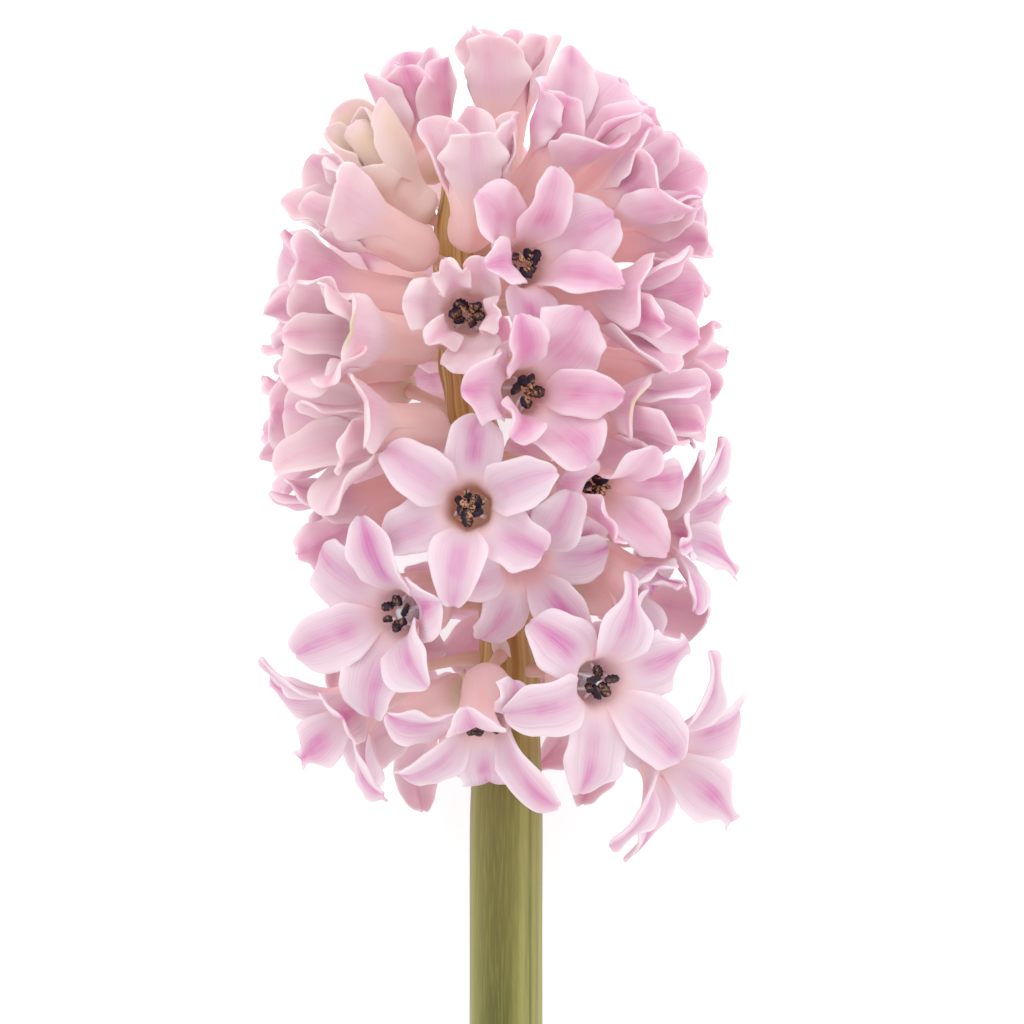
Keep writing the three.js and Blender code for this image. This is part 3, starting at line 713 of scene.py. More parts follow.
    def middle(self, along: Array, side: Array) -> tuple[Array, Array]:
        """The middle of the lobe as it really grew, with its folds, curls and waves.

        Args:
            along: Places along it, one for each row.
            side: Places across it from -1 to 1, one for each column.

        Returns:
            The points and the directions out of its back, rows by columns by three.
        """
        s, c = along[:, None], side[None, :]
        edge = np.abs(c)
        notch = lerp(0.0, 0.07, self.whim(Whim.NOTCH) ** 2)
        notch = notch * (1 + np.cos(2 * math.pi * (c * 0.9 + self.whim(Whim.NOTCH_PLACE)))) / 2
        teeth = lerp(0.0, 0.045, self.whim(Whim.TEETH) ** 1.5)
        teeth = teeth * (1 + np.cos(2 * math.pi * (c * 1.8 + self.whim(Whim.TEETH_PLACE)))) / 2
        reached = s if self.fingered() else s - notch * s**9 - teeth * s**14
        section = self.section(reached)
        plain = self.fine_width(along)[:, None]
        width = plain * self.edge_ripple(s, c)
        points, normal = self.place(reached, width * c, section)
        shift = self.margins(s, c) + self.waves(s, c)
        bulge = self.halves() * np.sin(math.pi * edge)
        shift = shift - bulge * smoothstep(s, 0.1, 0.4) * (1 - s**6)
        shift = shift - lerp(0.3, 1.6, self.whim(Whim.TIP_CURL)) * c**2 * smoothstep(s, 0.72, 1.0)
        shift = shift + lerp(-1.1, 1.1, self.whim(Whim.TWIST)) * c * s**1.5
        shift = shift * np.minimum(1.0, 1.5 * plain / self.grown_width())
        shift = shift + lerp(-0.9, 0.9, self.whim(Whim.LEAN)) * smoothstep(s, 0.35, 1.0)
        loose = self.liveliness * float(smoothstep(self.floret.open, 0.0, 0.24))
        return points + normal * (shift * loose)[..., None], normal

    def halves(self) -> float:
        """How far the two halves of the lobe bulge to its front, beside its middle groove."""
        return lerp(0.15, 0.55, self.whim(Whim.HALVES)) * lerp(1.0, 0.6, self.cupped())

    def margins(self, along: Array, side: Array) -> Array:
        """How far each margin curls back, or to the front where it is negative."""
        right, left = (lerp(-0.9, 1.3, self.whim(margin))
                       for margin in (Whim.RIGHT_MARGIN, Whim.LEFT_MARGIN))
        return np.where(side > 0, right, left) * np.abs(side) ** 3 * smoothstep(along, 0.18, 0.6)

    def waves(self, along: Array, side: Array) -> Array:
        """How far the margins run up and down along the lobe.

        Args:
            along: Places along it.
            side: Places across it from -1 to 1.

        Returns:
            The shift to its back at each.
        """
        size = lerp(0.2, 0.9, self.whim(Whim.WAVE_SIZE) ** 1.3) * (1.3 - self.floret.open * 0.4)
        size = size * self.floret.ruffle
        offset = np.where(side > 0, self.whim(Whim.WAVE_OFFSET), 0.0)
        phase = 2 * math.pi * (self.whim(Whim.WAVE_START) + offset)
        turns = lerp(1.0, 2.6, self.whim(Whim.WAVE_TURNS))
        run = np.sin(2 * math.pi * turns * along + phase)
        return size * side**2 * run * smoothstep(along, 0.15, 0.5)

    def sheets(self, along: Array, side: Array) -> tuple[Array, Array]:
        """The back and the front of the lobe.

        Args:
            along: Places along it, one for each row.
            side: Places across it from -1 to 1, one for each column.

        Returns:
            The points of its back and of its front, rows by columns by three.
        """
        points, normal = self.middle(along, side)
        s, c = along[:, None], side[None, :]
        edge = np.abs(c)
        rib = smoothstep(s, 0.04, 0.3) * (1 - 0.6 * smoothstep(s, 0.8, 1.0))
        rim = np.sqrt(np.maximum(1 - edge**7, 0.0)) * np.sqrt(np.maximum(1 - s**16, 0.0))
        body = (0.42 - 0.08 * edge**2 - 0.04 * s) * (0.12 + 0.88 * rim)
        body = lerp(MOUTH_WALL / 2, body, smoothstep(s, 0.0, 0.14))
        crease = np.exp(-((c / 0.16) ** 2)) * rib
        ribs = 0.04 * np.cos(c * 9.5 * math.pi / 2) * rib * (1 - edge)
        back = points + normal * (body + 0.2 * crease + ribs)[..., None]
        front = points - normal * (body - 0.3 * crease + ribs)[..., None]
        return back, front

    def outline(self, along: Array) -> Array:
        """The outline of the lobe: broad at the root, with a blunt point or a narrow finger.

        Args:
            along: Places along it.

        Returns:
            Its width at each, as a share of its widest place.
        """
        end = np.clip((along - 0.4) / 0.6, 0, 1)
        bluntness = lerp(2.1, 2.6, self.cupped()) + (0.0 if self.inner else 0.5 * self.cupped())
        whole = lerp(0.76, 1.0, smoothstep(along, 0.0, 0.36))
        whole = whole * np.sqrt(np.maximum(0, 1 - end**bluntness))
        pointed = lerp(0.05, 0.35, self.whim(Whim.POINT)) * (1 - 0.6 * self.cupped())
        whole = whole * (1 - pointed * smoothstep(along, 0.72, 1.0))
        if not self.fingered():
            return whole
        finger = 0.28 + 0.08 * smoothstep(along, 0.84, 0.93)
        finger = finger * np.sqrt(np.maximum(0, 1 - np.clip((along - 0.93) / 0.07, 0, 1) ** 2))
        return lerp(whole, finger, smoothstep(along, 0.46, 0.8))

    def fingered(self) -> bool:
        """Whether the lobe ends in a narrow finger, as some of the oldest do."""
        return self.floret.number in FINGERED_FLORETS and self.whim(Whim.FINGER) > 0.4

    def edge_ripple(self, along: Array, side: Array) -> Array:
        """How the edge runs in and out.

        Args:
            along: Places along it.
            side: Places across it from -1 to 1.

        Returns:
            The width at each, as a share of the plain one.
        """
        size = 0.035 if self.whim(Whim.RIPPLE_SIZE) < 0.6 else 0.09
        phase = np.where(side > 0, 0.0, 2.1) + 6.3 * self.whim(Whim.RIPPLE_START)
        run = np.sin(along * lerp(9, 17, self.whim(Whim.RIPPLE_TURNS)) + phase)
        frill = lerp(-0.02, 0.09, self.whim(Whim.FRILL_SIZE)) * smoothstep(along, 0.55, 0.85)
        frill = np.maximum(frill, 0.0)
        frilled = np.sin(along * lerp(20, 31, self.whim(Whim.FRILL_TURNS)) + 2 * phase)
        ripple = size * run * smoothstep(along, 0.35, 0.7) + frill * frilled
        fuller = lerp(-0.09, 0.09, self.whim(Whim.FULLNESS))
        fuller = fuller * np.sign(side) * np.sin(math.pi * along)
        rippled = 1 - smoothstep(along, 0.4, 0.65) if self.fingered() else 1.0
        return 1 + ripple * rippled + fuller

    def tip(self) -> Array:
        """Where its tip is."""
        return self.solid_points()[0]


@dataclass
class Floret:
    """One waxy floret: a swollen tube that opens into six lobes."""

    number: int
    mouth: Array
    turn: float
    lift: float
    open: float
    roll: float
    size: float
    habit: Habit
    stamens: bool
    lobe_share: float = 1.0
    ruffle: float = 1.0
    sunk: float = 0.0
    lobes: list[Lobe] = field(default_factory=list)
    support: Support | None = None

    @property
    def name(self) -> str:
        """Its number as its solid's name has it."""
        return f"{self.number:02d}"

    @property
    def axis(self) -> Array:
        """The direction out of its mouth."""
        t, l = math.radians(self.turn), math.radians(self.lift)
        return np.array([math.sin(t) * math.cos(l), math.sin(l), math.cos(t) * math.cos(l)])

    @property
    def right(self) -> Array:
        """The direction to the right seen from in front of it."""
        t = math.radians(self.turn)
        return np.array([math.cos(t), 0.0, -math.sin(t)])

    @property
    def up(self) -> Array:
        """The direction up seen from in front of it."""
        return np.cross(self.axis, self.right)

    @property
    def tube_length(self) -> float:
        """The length of its tube."""
        return min(TUBE_LENGTH * self.size, self.support.length - SHORTEST_PEDICEL)

    @property
    def throat_depth(self) -> float:
        """How deep its open throat is."""
        return min(THROAT_DEPTH, self.tube_length * THROAT_SHARE)

    def support_for(self, height: float, turn: float) -> Support:
        """The curve that it grows along.

        Args:
            height: How far up its root has moved from its usual place.
            turn: How far round the stalk its root has moved, in degrees.

        Returns:
            The curve.
        """
        below = ROOT_BELOW_MOUTH * math.sin(math.radians(self.lift))
        at = min(max(self.mouth[1] - below + height, LOWEST_ROOT), HIGHEST_ROOT)
        centre, radius = Scape.at(at)
        out = self.mouth - centre
        angle = math.atan2(out[0], out[2]) + math.radians(turn)
        root = centre + radius * ROOT_DEPTH * np.array([math.sin(angle), 0.0, math.cos(angle)])
        reach = np.linalg.norm(self.mouth - root)
        return Support(root, self.mouth - SUPPORT_BEND * reach * self.axis, self.mouth)

    def ring(self, share: Array, radius: Array, angles: Array) -> Array:
        """Rings of points round the support curve.

        Args:
            share: Shares of the curve's length, one for each ring.
            radius: Radii, rings by points or rings by one.
            angles: Angles round the ring, in radians.

        Returns:
            Rings by points by three.
        """
        centre, along = self.support.at(share)
        right = unit(self.right - along * (along @ self.right)[:, None])
        up = np.cross(along, right)
        angles = np.asarray(angles)[None, :, None]
        spoke = right[:, None] * np.cos(angles) + up[:, None] * np.sin(angles)
        return centre[:, None] + spoke * np.asarray(radius)[..., None]

    def tube_share(self, along: Array) -> Array:
        """Share of the curve at which a share of the tube lies."""
        return 1 - self.tube_length * (1 - np.asarray(along)) / self.support.length

    def fit(self, corners: Array) -> None:
        """Bends pedicel and lobes as the floret's solid has them.

        Args:
            corners: The solid's corners, in the flower's frame.
        """
        best = math.inf
        angles = np.radians(self.roll + np.array([0.0, 180.0]))
        for height, turn in least_cost_pairs(ROOT_HEIGHTS, ROOT_TURNS):
            trial = replace(self, support=self.support_for(height, turn), lobes=[])
            base = trial.ring(trial.tube_share([0.0]), [[TUBE_BASE_RADIUS * self.size]], angles)[0]
            found = self.miss(base, corners)
            if found < best:
                best, self.support = found, trial.support
            if best < SAME_PLACE:
                break
        if best > SAME_PLACE:
            raise ValueError(f"floret {self.name}: its tube is {best:.2f} mm off its solid")
        for index in range(LOBES):
            self.lobes.append(self.fitted_lobe(index, corners))

    @staticmethod
    def miss(points: Array, corners: Array) -> float:
        """How far the worst of the points is from its nearest corner."""
        gaps = np.linalg.norm(points[:, None] - corners[None], axis=2)
        return float(gaps.min(axis=1).max())

    def fitted_lobe(self, index: int, corners: Array) -> Lobe:
        """The lobe as its solid is bent.

        Args:
            index: Which lobe.
            corners: The solid's corners, in the flower's frame.

        Returns:
            The lobe.
        """
        for length in LOBE_LENGTHS:
            for opening, sway in least_cost_pairs(LOBE_OPENINGS, LOBE_SWAYS):
                lobe = Lobe(self, index, opening, sway, length)
                if self.miss(lobe.solid_points(), corners) < SAME_PLACE:
                    return lobe
        raise ValueError(f"floret {self.name}: lobe {index} isn't where its solid is")


@dataclass
class Crowd:
    """Lets each lobe grow as broad as the other florets leave it room."""

    florets: list[Floret]
    clearance: float = 1.0
    manners: tuple[tuple[float, float], ...] = (
        (1, 1), (1, 0.5), (0.8, 0.5), (0.6, 0.3), (0.4, 0), (0.2, 0), (0, 0),
    )
    across: int = 9
    along: int = 13
    places: Array = field(init=False)
    centres: Array = field(init=False)
    reaches: Array = field(init=False)
    owners: Array = field(init=False)

    def __post_init__(self) -> None:
        """Measures every lobe at the width of its solid."""
        lobes = [lobe for floret in self.florets for lobe in floret.lobes]
        for lobe in lobes:
            lobe.breadth = lobe.liveliness = 0.0
        self.owners = np.array([lobe.floret.number for lobe in lobes])
        self.places = np.array([self.sampled(lobe, self.across) for lobe in lobes])
        self.centres = self.places.mean(axis=1)
        self.reaches = np.linalg.norm(self.places - self.centres[:, None], axis=2).max(axis=1)

    def sampled(self, lobe: Lobe, columns: int) -> Array:
        """Points spread evenly over the middle surface of a lobe."""
        places, _ = lobe.middle(np.linspace(0.12, 1.0, self.along), np.linspace(-1, 1, columns))
        return places.reshape(-1, 3)

    def is_clear(self, number: int, points: Array) -> bool:
        """Whether points of one floret's lobe keep clear of every other floret.

        Args:
            number: The floret.
            points: The points.

        Returns:
            Whether they do.
        """
        centre = points.mean(axis=0)
        reach = np.linalg.norm(points - centre, axis=1).max()
        gaps = np.linalg.norm(self.centres - centre, axis=1) - self.reaches
        close = gaps < reach + self.clearance
        others = self.places[close & (self.owners != number)].reshape(-1, 3)
        if not len(others):
            return True
        return bool(np.linalg.norm(points[:, None] - others[None], axis=2).min() > self.clearance)

    def settle(self) -> int:
        """Gives each lobe its width.

        Returns:
            How many lobes grew to their full width.
        """
        full = 0
        lobes = [lobe for floret in self.florets for lobe in floret.lobes]
        for i, lobe in enumerate(lobes):
            for lobe.breadth, lobe.liveliness in self.manners:
                if self.is_clear(lobe.floret.number, self.sampled(lobe, 5)):
                    break
            self.places[i] = self.sampled(lobe, self.across)
            full += lobe.breadth == 1.0
        return full


@dataclass
class Perianth:
    """Builds the fine mesh of a floret: tube, throat and lobes as one closed skin."""

    petal: bpy.types.Material
    columns: int = 16
    rows: int = 22
    tube_rows: tuple[float, ...] = (
        0.0, 0.025, 0.07, 0.14, 0.24, 0.35, 0.47, 0.59, 0.7, 0.8, 0.88, 0.95, 1.0,
    )
    throat_rows: tuple[float, ...] = (1.0, 0.8, 0.6, 0.42, 0.26, 0.11, 0.0)
    swell_places: tuple[float, ...] = (0.0, 0.03, 0.09, 0.18, 0.28, 0.45, 0.62, 0.82, 1.0)
    swell: tuple[float, ...] = (1.15, 1.9, 2.9, 3.85, 4.22, 4.16, 4.02, 4.2, 4.6)
    throat_floor: float = 2.8
    blended_rows: int = 4
    blendings: int = 7
    faces: list[list[int]] = field(init=False)

    def __post_init__(self) -> None:
        """Numbers the faces, which are the same on every floret."""
        self.faces = self.skin_faces()

    @property
    def round(self) -> int:
        """Points round the tube."""
        return LOBES * self.columns

    @property
    def along(self) -> Array:
        """Rows of the lobes, closer together at the tip."""
        return 1 - (1 - np.linspace(0, 1, self.rows + 1)) ** 1.35

    @property
    def side(self) -> Array:
        """Columns of a lobe, closer together at its edges."""
        even = np.linspace(-1, 1, self.columns + 1)
        return 0.45 * even + 0.55 * np.sin(even * math.pi / 2)

    @property
    def starts(self) -> dict[str, int]:
        """The number of the first point of each part of the skin.

        Returns:
            The numbers by part.
        """
        lobes = LOBES * (self.rows - 1) * (self.columns + 1)
        back = len(self.tube_rows) * self.round
        front = back + lobes + len(self.throat_rows) * self.round
        return {"tube": 0, "back": back, "throat": back + lobes, "front": front,
                "tips": front + lobes}

    def corner(self, lobe: int, row: int, column: int, inside: bool) -> int:
        """The number of a point of a lobe.

        Args:
            lobe: Which lobe.
            row: Its row, from 0 at the mouth.
            column: Its column.
            inside: Whether it is on the front.

        Returns:
            The number.
        """
        if row == self.rows:
            return self.starts["tips"] + lobe
        first = self.starts["front" if inside else "back"]
        if row == 0:
            return first - self.round + (lobe * self.columns + column) % self.round
        return first + (lobe * (self.rows - 1) + row - 1) * (self.columns + 1) + column

    def tube_faces(self) -> list[list[int]]:
        """Every face of the tube and the throat.

        Returns:
            The faces, numbered as skin_points orders the points.
        """
        faces = []
        starts = self.starts
        for part, rows in (("tube", self.tube_rows), ("throat", self.throat_rows)):
            for i, j in product(range(len(rows) - 1), range(self.round)):
                k = (j + 1) % self.round
                a = starts[part] + i * self.round
                b = a + self.round
                quad = [a + j, a + k, b + k, b + j]
                faces.append(quad if part == "tube" else quad[::-1])
        base = starts["tips"] + LOBES
        for j in range(self.round):
            k = (j + 1) % self.round
            faces.append([base, k, j])
            faces.append([base + 1, starts["throat"] + j, starts["throat"] + k])
        return faces

    def skin_faces(self) -> list[list[int]]:
        """Every face of the skin.

        Returns:
            The faces, numbered as skin_points orders the points.
        """
        faces = []
        for lobe, i in product(range(LOBES), range(self.rows)):
            for j in range(self.columns):
                spots = ((i, j), (i, j + 1), (i + 1, j + 1), (i + 1, j))
                faces.append([self.corner(lobe, *spot, False) for spot in spots])
                faces.append([self.corner(lobe, *spot, True) for spot in spots[::-1]])
            for column in (0, self.columns):
                a, b = ([self.corner(lobe, row, column, inside) for inside in (False, True)]
                        for row in (i, i + 1))
                faces.append([a[0], b[0], b[1], a[1]] if column == 0 else [a[0], a[1], b[1], b[0]])
        plain = [[c for i, c in enumerate(face) if c != face[i - 1]] for face in faces]
        return self.tube_faces() + plain

    def tube_radius(self, floret: Floret, along: Array) -> Array:
        """Radius of a tube's outside.

        Args:
            floret: The floret.
            along: Shares of the tube's length, from its base.

        Returns:
            The radius at each.
        """
        return np.interp(along, self.swell_places, self.swell) * lerp(floret.size, 1.0, along)

    def softened(self, points: Array, middle: int) -> Array:
        """Rows of points with the kink at the mouth rounded off.

        Args:
            points: Rows by columns by three, from the tube to the tip.
            middle: The row at the mouth.

        Returns:
            The points.
        """
        points = points.copy()
        first, end = middle - self.blended_rows, middle + self.blended_rows + 1
        for _ in range(self.blendings):
            before, after = points[first - 1:end - 1], points[first + 1:end + 1]
            points[first:end] = (before + 2 * points[first:end] + after) / 4
        return points

    def wall(self, rings: Array, sheets: list[Array]) -> tuple[Array, list[Array]]:
        """Joins the rings of a tube to the six lobes that carry it on.

        Args:
            rings: Rings by points by three, up to the one before the mouth.
            sheets: One side of each lobe, rows by columns by three.

        Returns:
            The rings with the mouth, and the lobes' rows from the first past the mouth.
        """
        middle = len(rings)
        columns = self.columns
        wrapped = np.concatenate([rings, rings[:, :1]], axis=1)
        strips = [wrapped[:, k * columns:(k + 1) * columns + 1] for k in range(LOBES)]
        joined = [self.softened(np.concatenate(pair), middle) for pair in zip(strips, sheets)]
        tube = np.empty((middle + 1, self.round, 3))
        for k, strip in enumerate(joined):
            tube[:, k * columns:(k + 1) * columns] = strip[:middle + 1, :columns]
        for k, strip in enumerate(joined):
            shared = (strip[:middle + 1, 0] + joined[k - 1][:middle + 1, columns]) / 2
            tube[:, k * columns] = shared
        return tube, [strip[middle + 1:] for strip in joined]

    def skin_points(self, floret: Floret) -> tuple[Array, dict[str, Array]]:
        """Every point of a floret's skin, with what its finish reads there.

        Args:
            floret: The floret.

        Returns:
            The points, and three numbers for each under each name.
        """
        backs, fronts = zip(*(lobe.sheets(self.along, self.side) for lobe in floret.lobes))
        across = np.tile(self.side[:-1], LOBES)
        petal = np.repeat(np.arange(LOBES), self.columns)
        angle = math.radians(floret.roll) + (2 * petal + across) * math.pi / LOBES
        out_along = np.array(self.tube_rows[:-1])
        rising, ending = smoothstep(out_along, 0.1, 0.4), smoothstep(out_along, 0.8, 1.0)
        ridge = 1 + 0.035 * np.cos(math.pi * across)[None] * rising[:, None]
        ridge = lerp(ridge, 1.0, ending[:, None])
        radius = self.tube_radius(floret, out_along)[:, None] * ridge
        outside = floret.ring(floret.tube_share(out_along), radius, angle)
        depth = np.array(self.throat_rows[:-1])
        grooved = 1 + 0.08 * np.cos(math.pi * across)[None] * (1 - depth**2)[:, None]
        inner_radius = lerp(MOUTH_RADIUS - MOUTH_WALL, self.throat_floor, depth**1.5)
        inner_radius = inner_radius[:, None] * grooved
        share = 1 - floret.throat_depth * depth / floret.support.length
        inside = floret.ring(share, inner_radius, angle)
        tube, back_lobes = self.wall(outside, list(backs))
        throat, front_lobes = self.wall(inside, list(fronts))
        lobe_pairs = zip(back_lobes, front_lobes)
        tips = np.array([(back[-1].mean(0) + front[-1].mean(0)) / 2 for back, front in lobe_pairs])
        parts = [tube.reshape(-1, 3), *[b[:-1].reshape(-1, 3) for b in back_lobes],
                 throat.reshape(-1, 3), *[f[:-1].reshape(-1, 3) for f in front_lobes],
                 tips, tube[0].mean(0)[None], throat[0].mean(0)[None]]
        return np.concatenate(parts), self.finish_values(floret, across)

    def finish_values(self, floret: Floret, across: Array) -> dict[str, Array]:
        """What the petal's finish reads at each point.

        Args:
            floret: The floret.
            across: How far each point round the tube is from its lobe's middle.

        Returns:
            petal holds side, along and front; tint holds stripe, ground and seed; and tone holds
            green, cream and warm.
        """
        tube_along = np.array(self.tube_rows) - 1
        throat_along = -np.array(self.throat_rows) * floret.throat_depth / floret.tube_length
        lobe_along = np.repeat(self.along[1:-1], self.columns + 1)
        lobe_side = np.tile(self.side, self.rows - 1)
        tube, throat = (
            self.marks(np.tile(across, len(rows)), np.repeat(rows, self.round), front)
            for rows, front in ((tube_along, 0.0), (throat_along, 1.0))
        )
        back, front = (self.marks(lobe_side, lobe_along, front) for front in (0.0, 1.0))
        ends = [[0.0, 1.0, 0.5]] * LOBES + [[0.0, -1.0, 0.0], [0.0, throat_along[0], 1.0]]
        petal = np.concatenate([tube, *[back] * LOBES, throat, *[front] * LOBES, ends])
        look = floret.habit.value
        stripes = np.array([look.stripe * lerp(0.7, 1.15, lobe.whim(Whim.STRIPE))
                            for lobe in floret.lobes])
        grounds = np.array([look.ground * lerp(0.7, 1.3, lobe.whim(Whim.GROUND))
                            for lobe in floret.lobes])
        greens = np.array([lobe.tip_green for lobe in floret.lobes])
        seeds = np.full(LOBES, chance(floret.number, SEED_FEATURE))
        tint = np.stack([self.spread(each) for each in (stripes, grounds, seeds)], axis=1)
        whole = np.ones(len(tint))
        tone = np.stack([self.spread(greens), whole * look.cream, whole * look.warm], axis=1)
        return {"petal": petal, "tint": tint, "tone": tone}

    @staticmethod
    def marks(side: Array, along: Array, front: float) -> Array:
        """Three numbers for each point: how far across, how far along and whether in front."""
        return np.stack([side, along, np.full(len(side), front)], axis=1)

    def spread(self, each: Array) -> Array:
        """A number for every point of the skin, from one for each lobe.

        Args:
            each: A number for each lobe.

        Returns:
            Each lobe's own on that lobe, and their mean on the tube and in the throat.
        """
        mean = each.mean()
        tube = np.full(len(self.tube_rows) * self.round, mean)
        throat = np.full(len(self.throat_rows) * self.round, mean)
        grown = np.repeat(each, (self.rows - 1) * (self.columns + 1))
        return np.concatenate([tube, grown, throat, grown, each, [mean] * 2])

    def build(self, floret: Floret, frame: FlowerFrame) -> bpy.types.Object:
        """Makes a floret's piece, in the place of its solid.

        Args:
            floret: The floret.
            frame: Where the flower lies.

        Returns:
            The piece.
        """
        pile = Pile()
        points, values = self.skin_points(floret)
        pile.add(points, self.faces, 0, values)
        piece = pile.made(f"petals_{floret.name}", frame, [self.petal])
        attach(piece, "root")
        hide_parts(f"floret_{floret.name}")
        return piece


@dataclass
class StamenCluster:
    """The six anthers of an open floret and the pistil between them."""

    anther: bpy.types.Material
    pistil: bpy.types.Material
    circle: float = 2.15
    half_length: float = 1.55
    half_width: float = 0.95
    half_depth: float = 0.75
    filament_radius: float = 0.3
    crumbs: int = 9
    crumb_turn: float = 2.4
    anther_rows: int = 15
    anther_sides: int = 14
    crumb_rows: int = 9
    crumb_sides: int = 10
    filament_rows: int = 5
    filament_sides: int = 8
    pistil_sides: int = 18
    pistil_heights: tuple[float, ...] = (0.25, 0.9, 2.0, 3.2, 4.2, 4.8, 5.2, 5.5, 5.8, 5.95)
    pistil_radii: tuple[float, ...] = (0.9, 1.3, 1.5, 1.5, 1.4, 1.2, 0.95, 1.0, 0.85, 0.35)

    def add_anther(self, pile: Pile, floret: Floret, index: int) -> None:
        """Adds one anther on its short filament.

        Args:
            pile: The mesh that it joins.
            floret: Its floret.
            index: Which of the six.
        """
        turn, tilt, twist, nearness, rise, lump, bump, bow, stretch, dust, growth = (
            chance(floret.number + ANTHER_SHIFT, index * 17 + feature) for feature in range(1, 12)
        )
        spoke = math.radians(floret.roll + index * 60 + lerp(-18, 18, turn))
        radial = floret.right * math.cos(spoke) + floret.up * math.sin(spoke)
        around = np.cross(floret.axis, radial)
        lean = math.radians(lerp(25, 75, tilt))
        length = floret.axis * math.cos(lean) + radial * math.sin(lean)
        length = unit(length + around * lerp(-0.6, 0.6, twist))
        out = unit(radial - length * (radial @ length))
        wide = np.cross(length, out)
        middle = floret.mouth + radial * self.circle * lerp(0.7, 1.05, nearness)
        middle = middle + floret.axis * (lerp(-0.7, 0.5, rise) - floret.sunk)
        grown = lerp(0.68, 1.12, growth)
        t = np.linspace(-1, 1, self.anther_rows)[:, None]
        phi = turns_round(self.anther_sides)[None]
        body = np.sqrt(np.maximum(1 - np.abs(t) ** 2.6, 0.0)) * 0.97 + 0.03
        from_front = np.minimum(phi, 2 * math.pi - phi)
        groove = np.exp(-(((phi - math.pi) / 0.45) ** 2)) + 0.6 * np.exp(-(from_front / 0.4) ** 2)
        lumps = 1 + 0.28 * np.sin(3 * phi + 5 * t + 6 * lump) * np.sin(7 * t + 6 * bump)
        radius = body * (1 - 0.38 * groove) * lumps * grown
        bend = 0.28 * (t**2) * lerp(-1, 1, bow)
        points = stepped(middle, (length, t * self.half_length * grown * lerp(0.85, 1.1, stretch)),
                         (out, radius * np.cos(phi) * self.half_depth + bend),
                         (wide, radius * np.sin(phi) * self.half_width))
        full = np.ones_like(radius)
        pollen = np.stack([groove * full, t * full, dust * full], axis=2)
        pile.loft(points, 0, {"pollen": pollen})
        foot = floret.mouth - floret.axis * 3.6 + radial * (self.circle + 0.9)
        self.add_filament(pile, foot, middle - length * self.half_length * 0.6)

    def add_crumb(self, pile: Pile, floret: Floret, index: int) -> None:
        """Adds one lump of buff pollen that an anther has shed.

        Args:
            pile: The mesh that it joins.
            floret: Its floret.
            index: Which of the lumps.
        """
        turn, share = self.crumb_turn * index, chance(floret.number + CRUMB_SHIFT, index)
        radial = floret.right * math.cos(turn) + floret.up * math.sin(turn)
        reach = self.circle * math.sqrt((index + 0.5) / self.crumbs) * 1.15
        middle = floret.mouth + radial * reach + floret.axis * lerp(-0.9, 0.6, share)
        along = unit(radial * math.cos(5 * share) + floret.axis * math.sin(5 * share))
        first = unit(np.cross(along, floret.right + floret.up * 0.3))
        t = np.linspace(-1, 1, self.crumb_rows)[:, None]
        phi = turns_round(self.crumb_sides)[None]
        body = np.sqrt(np.maximum(1 - t**2, 0.0)) * 0.95 + 0.05
        radius = body * lerp(0.42, 0.7, share) * (1 + 0.25 * np.sin(2 * phi + 4 * t + 9 * share))
        rings = stepped(middle, (along, t * lerp(0.5, 0.95, chance(index, 4))),
                        (first, radius * np.cos(phi)),
                        (np.cross(along, first), radius * np.sin(phi)))
        pile.loft(rings, 0, {"pollen": np.ones(rings.shape) * np.array([1.0, 0.0, 1.0])})

    def add_filament(self, pile: Pile, foot: Array, head: Array) -> None:
        """Adds a filament.

        Args:
            pile: The mesh that it joins.
            foot: Where it starts.
            head: Where it ends.
        """
        along = unit(head - foot)
        first = unit(np.cross(along, [0.31, 0.27, 0.91]))
        t = np.linspace(0, 1, self.filament_rows)[:, None]
        phi = turns_round(self.filament_sides)[None]
        rings = stepped(foot, (head - foot, t), (first, self.filament_radius * np.cos(phi)),
                        (np.cross(along, first), self.filament_radius * np.sin(phi)))
        pile.loft(rings, 1, {"pollen": np.zeros(rings.shape)})

    def add_pistil(self, pile: Pile, floret: Floret) -> None:
        """Adds the three-cornered ovary with its style and stigma.

        Args:
            pile: The mesh that it joins.
            floret: Its floret.
        """
        heights, radii = np.array(self.pistil_heights), np.array(self.pistil_radii)
        above = heights * (floret.throat_depth / THROAT_DEPTH) - floret.throat_depth
        phi = turns_round(self.pistil_sides) + math.radians(floret.roll)
        corner = 1 + 0.13 * np.cos(3 * (phi - math.radians(floret.roll)))
        share = 1 + above / floret.support.length
        rings = floret.ring(share, radii[:, None] * corner[None], phi)
        pile.loft(rings, 1, {"pollen": np.zeros(rings.shape)})

    def build(self, floret: Floret, frame: FlowerFrame) -> bpy.types.Object:
        """Makes the piece, in the place of its solid.

        Args:
            floret: The floret that it stands in.
            frame: Where the flower lies.

        Returns:
            The piece.
        """
        pile = Pile()
        for index in range(LOBES):
            self.add_anther(pile, floret, index)
        if floret.habit in (Habit.BUFF_THROAT, Habit.PEARLY, Habit.FLUSHED):
            dusty = floret.habit is Habit.BUFF_THROAT
            for index in range(self.crumbs if dusty else self.crumbs // 2):
                self.add_crumb(pile, floret, index)
        else:
            self.add_pistil(pile, floret)
        piece = pile.made(f"anthers_{floret.name}", frame, [self.anther, self.pistil])
        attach(piece, "root")
        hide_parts(f"stamens_{floret.name}")
        return piece


@dataclass(frozen=True)
class Bract:
    """A small curled leaf under a floret."""

    height: float
    turn: float
    length: float
    aside: float
    away: float
    half_width: float


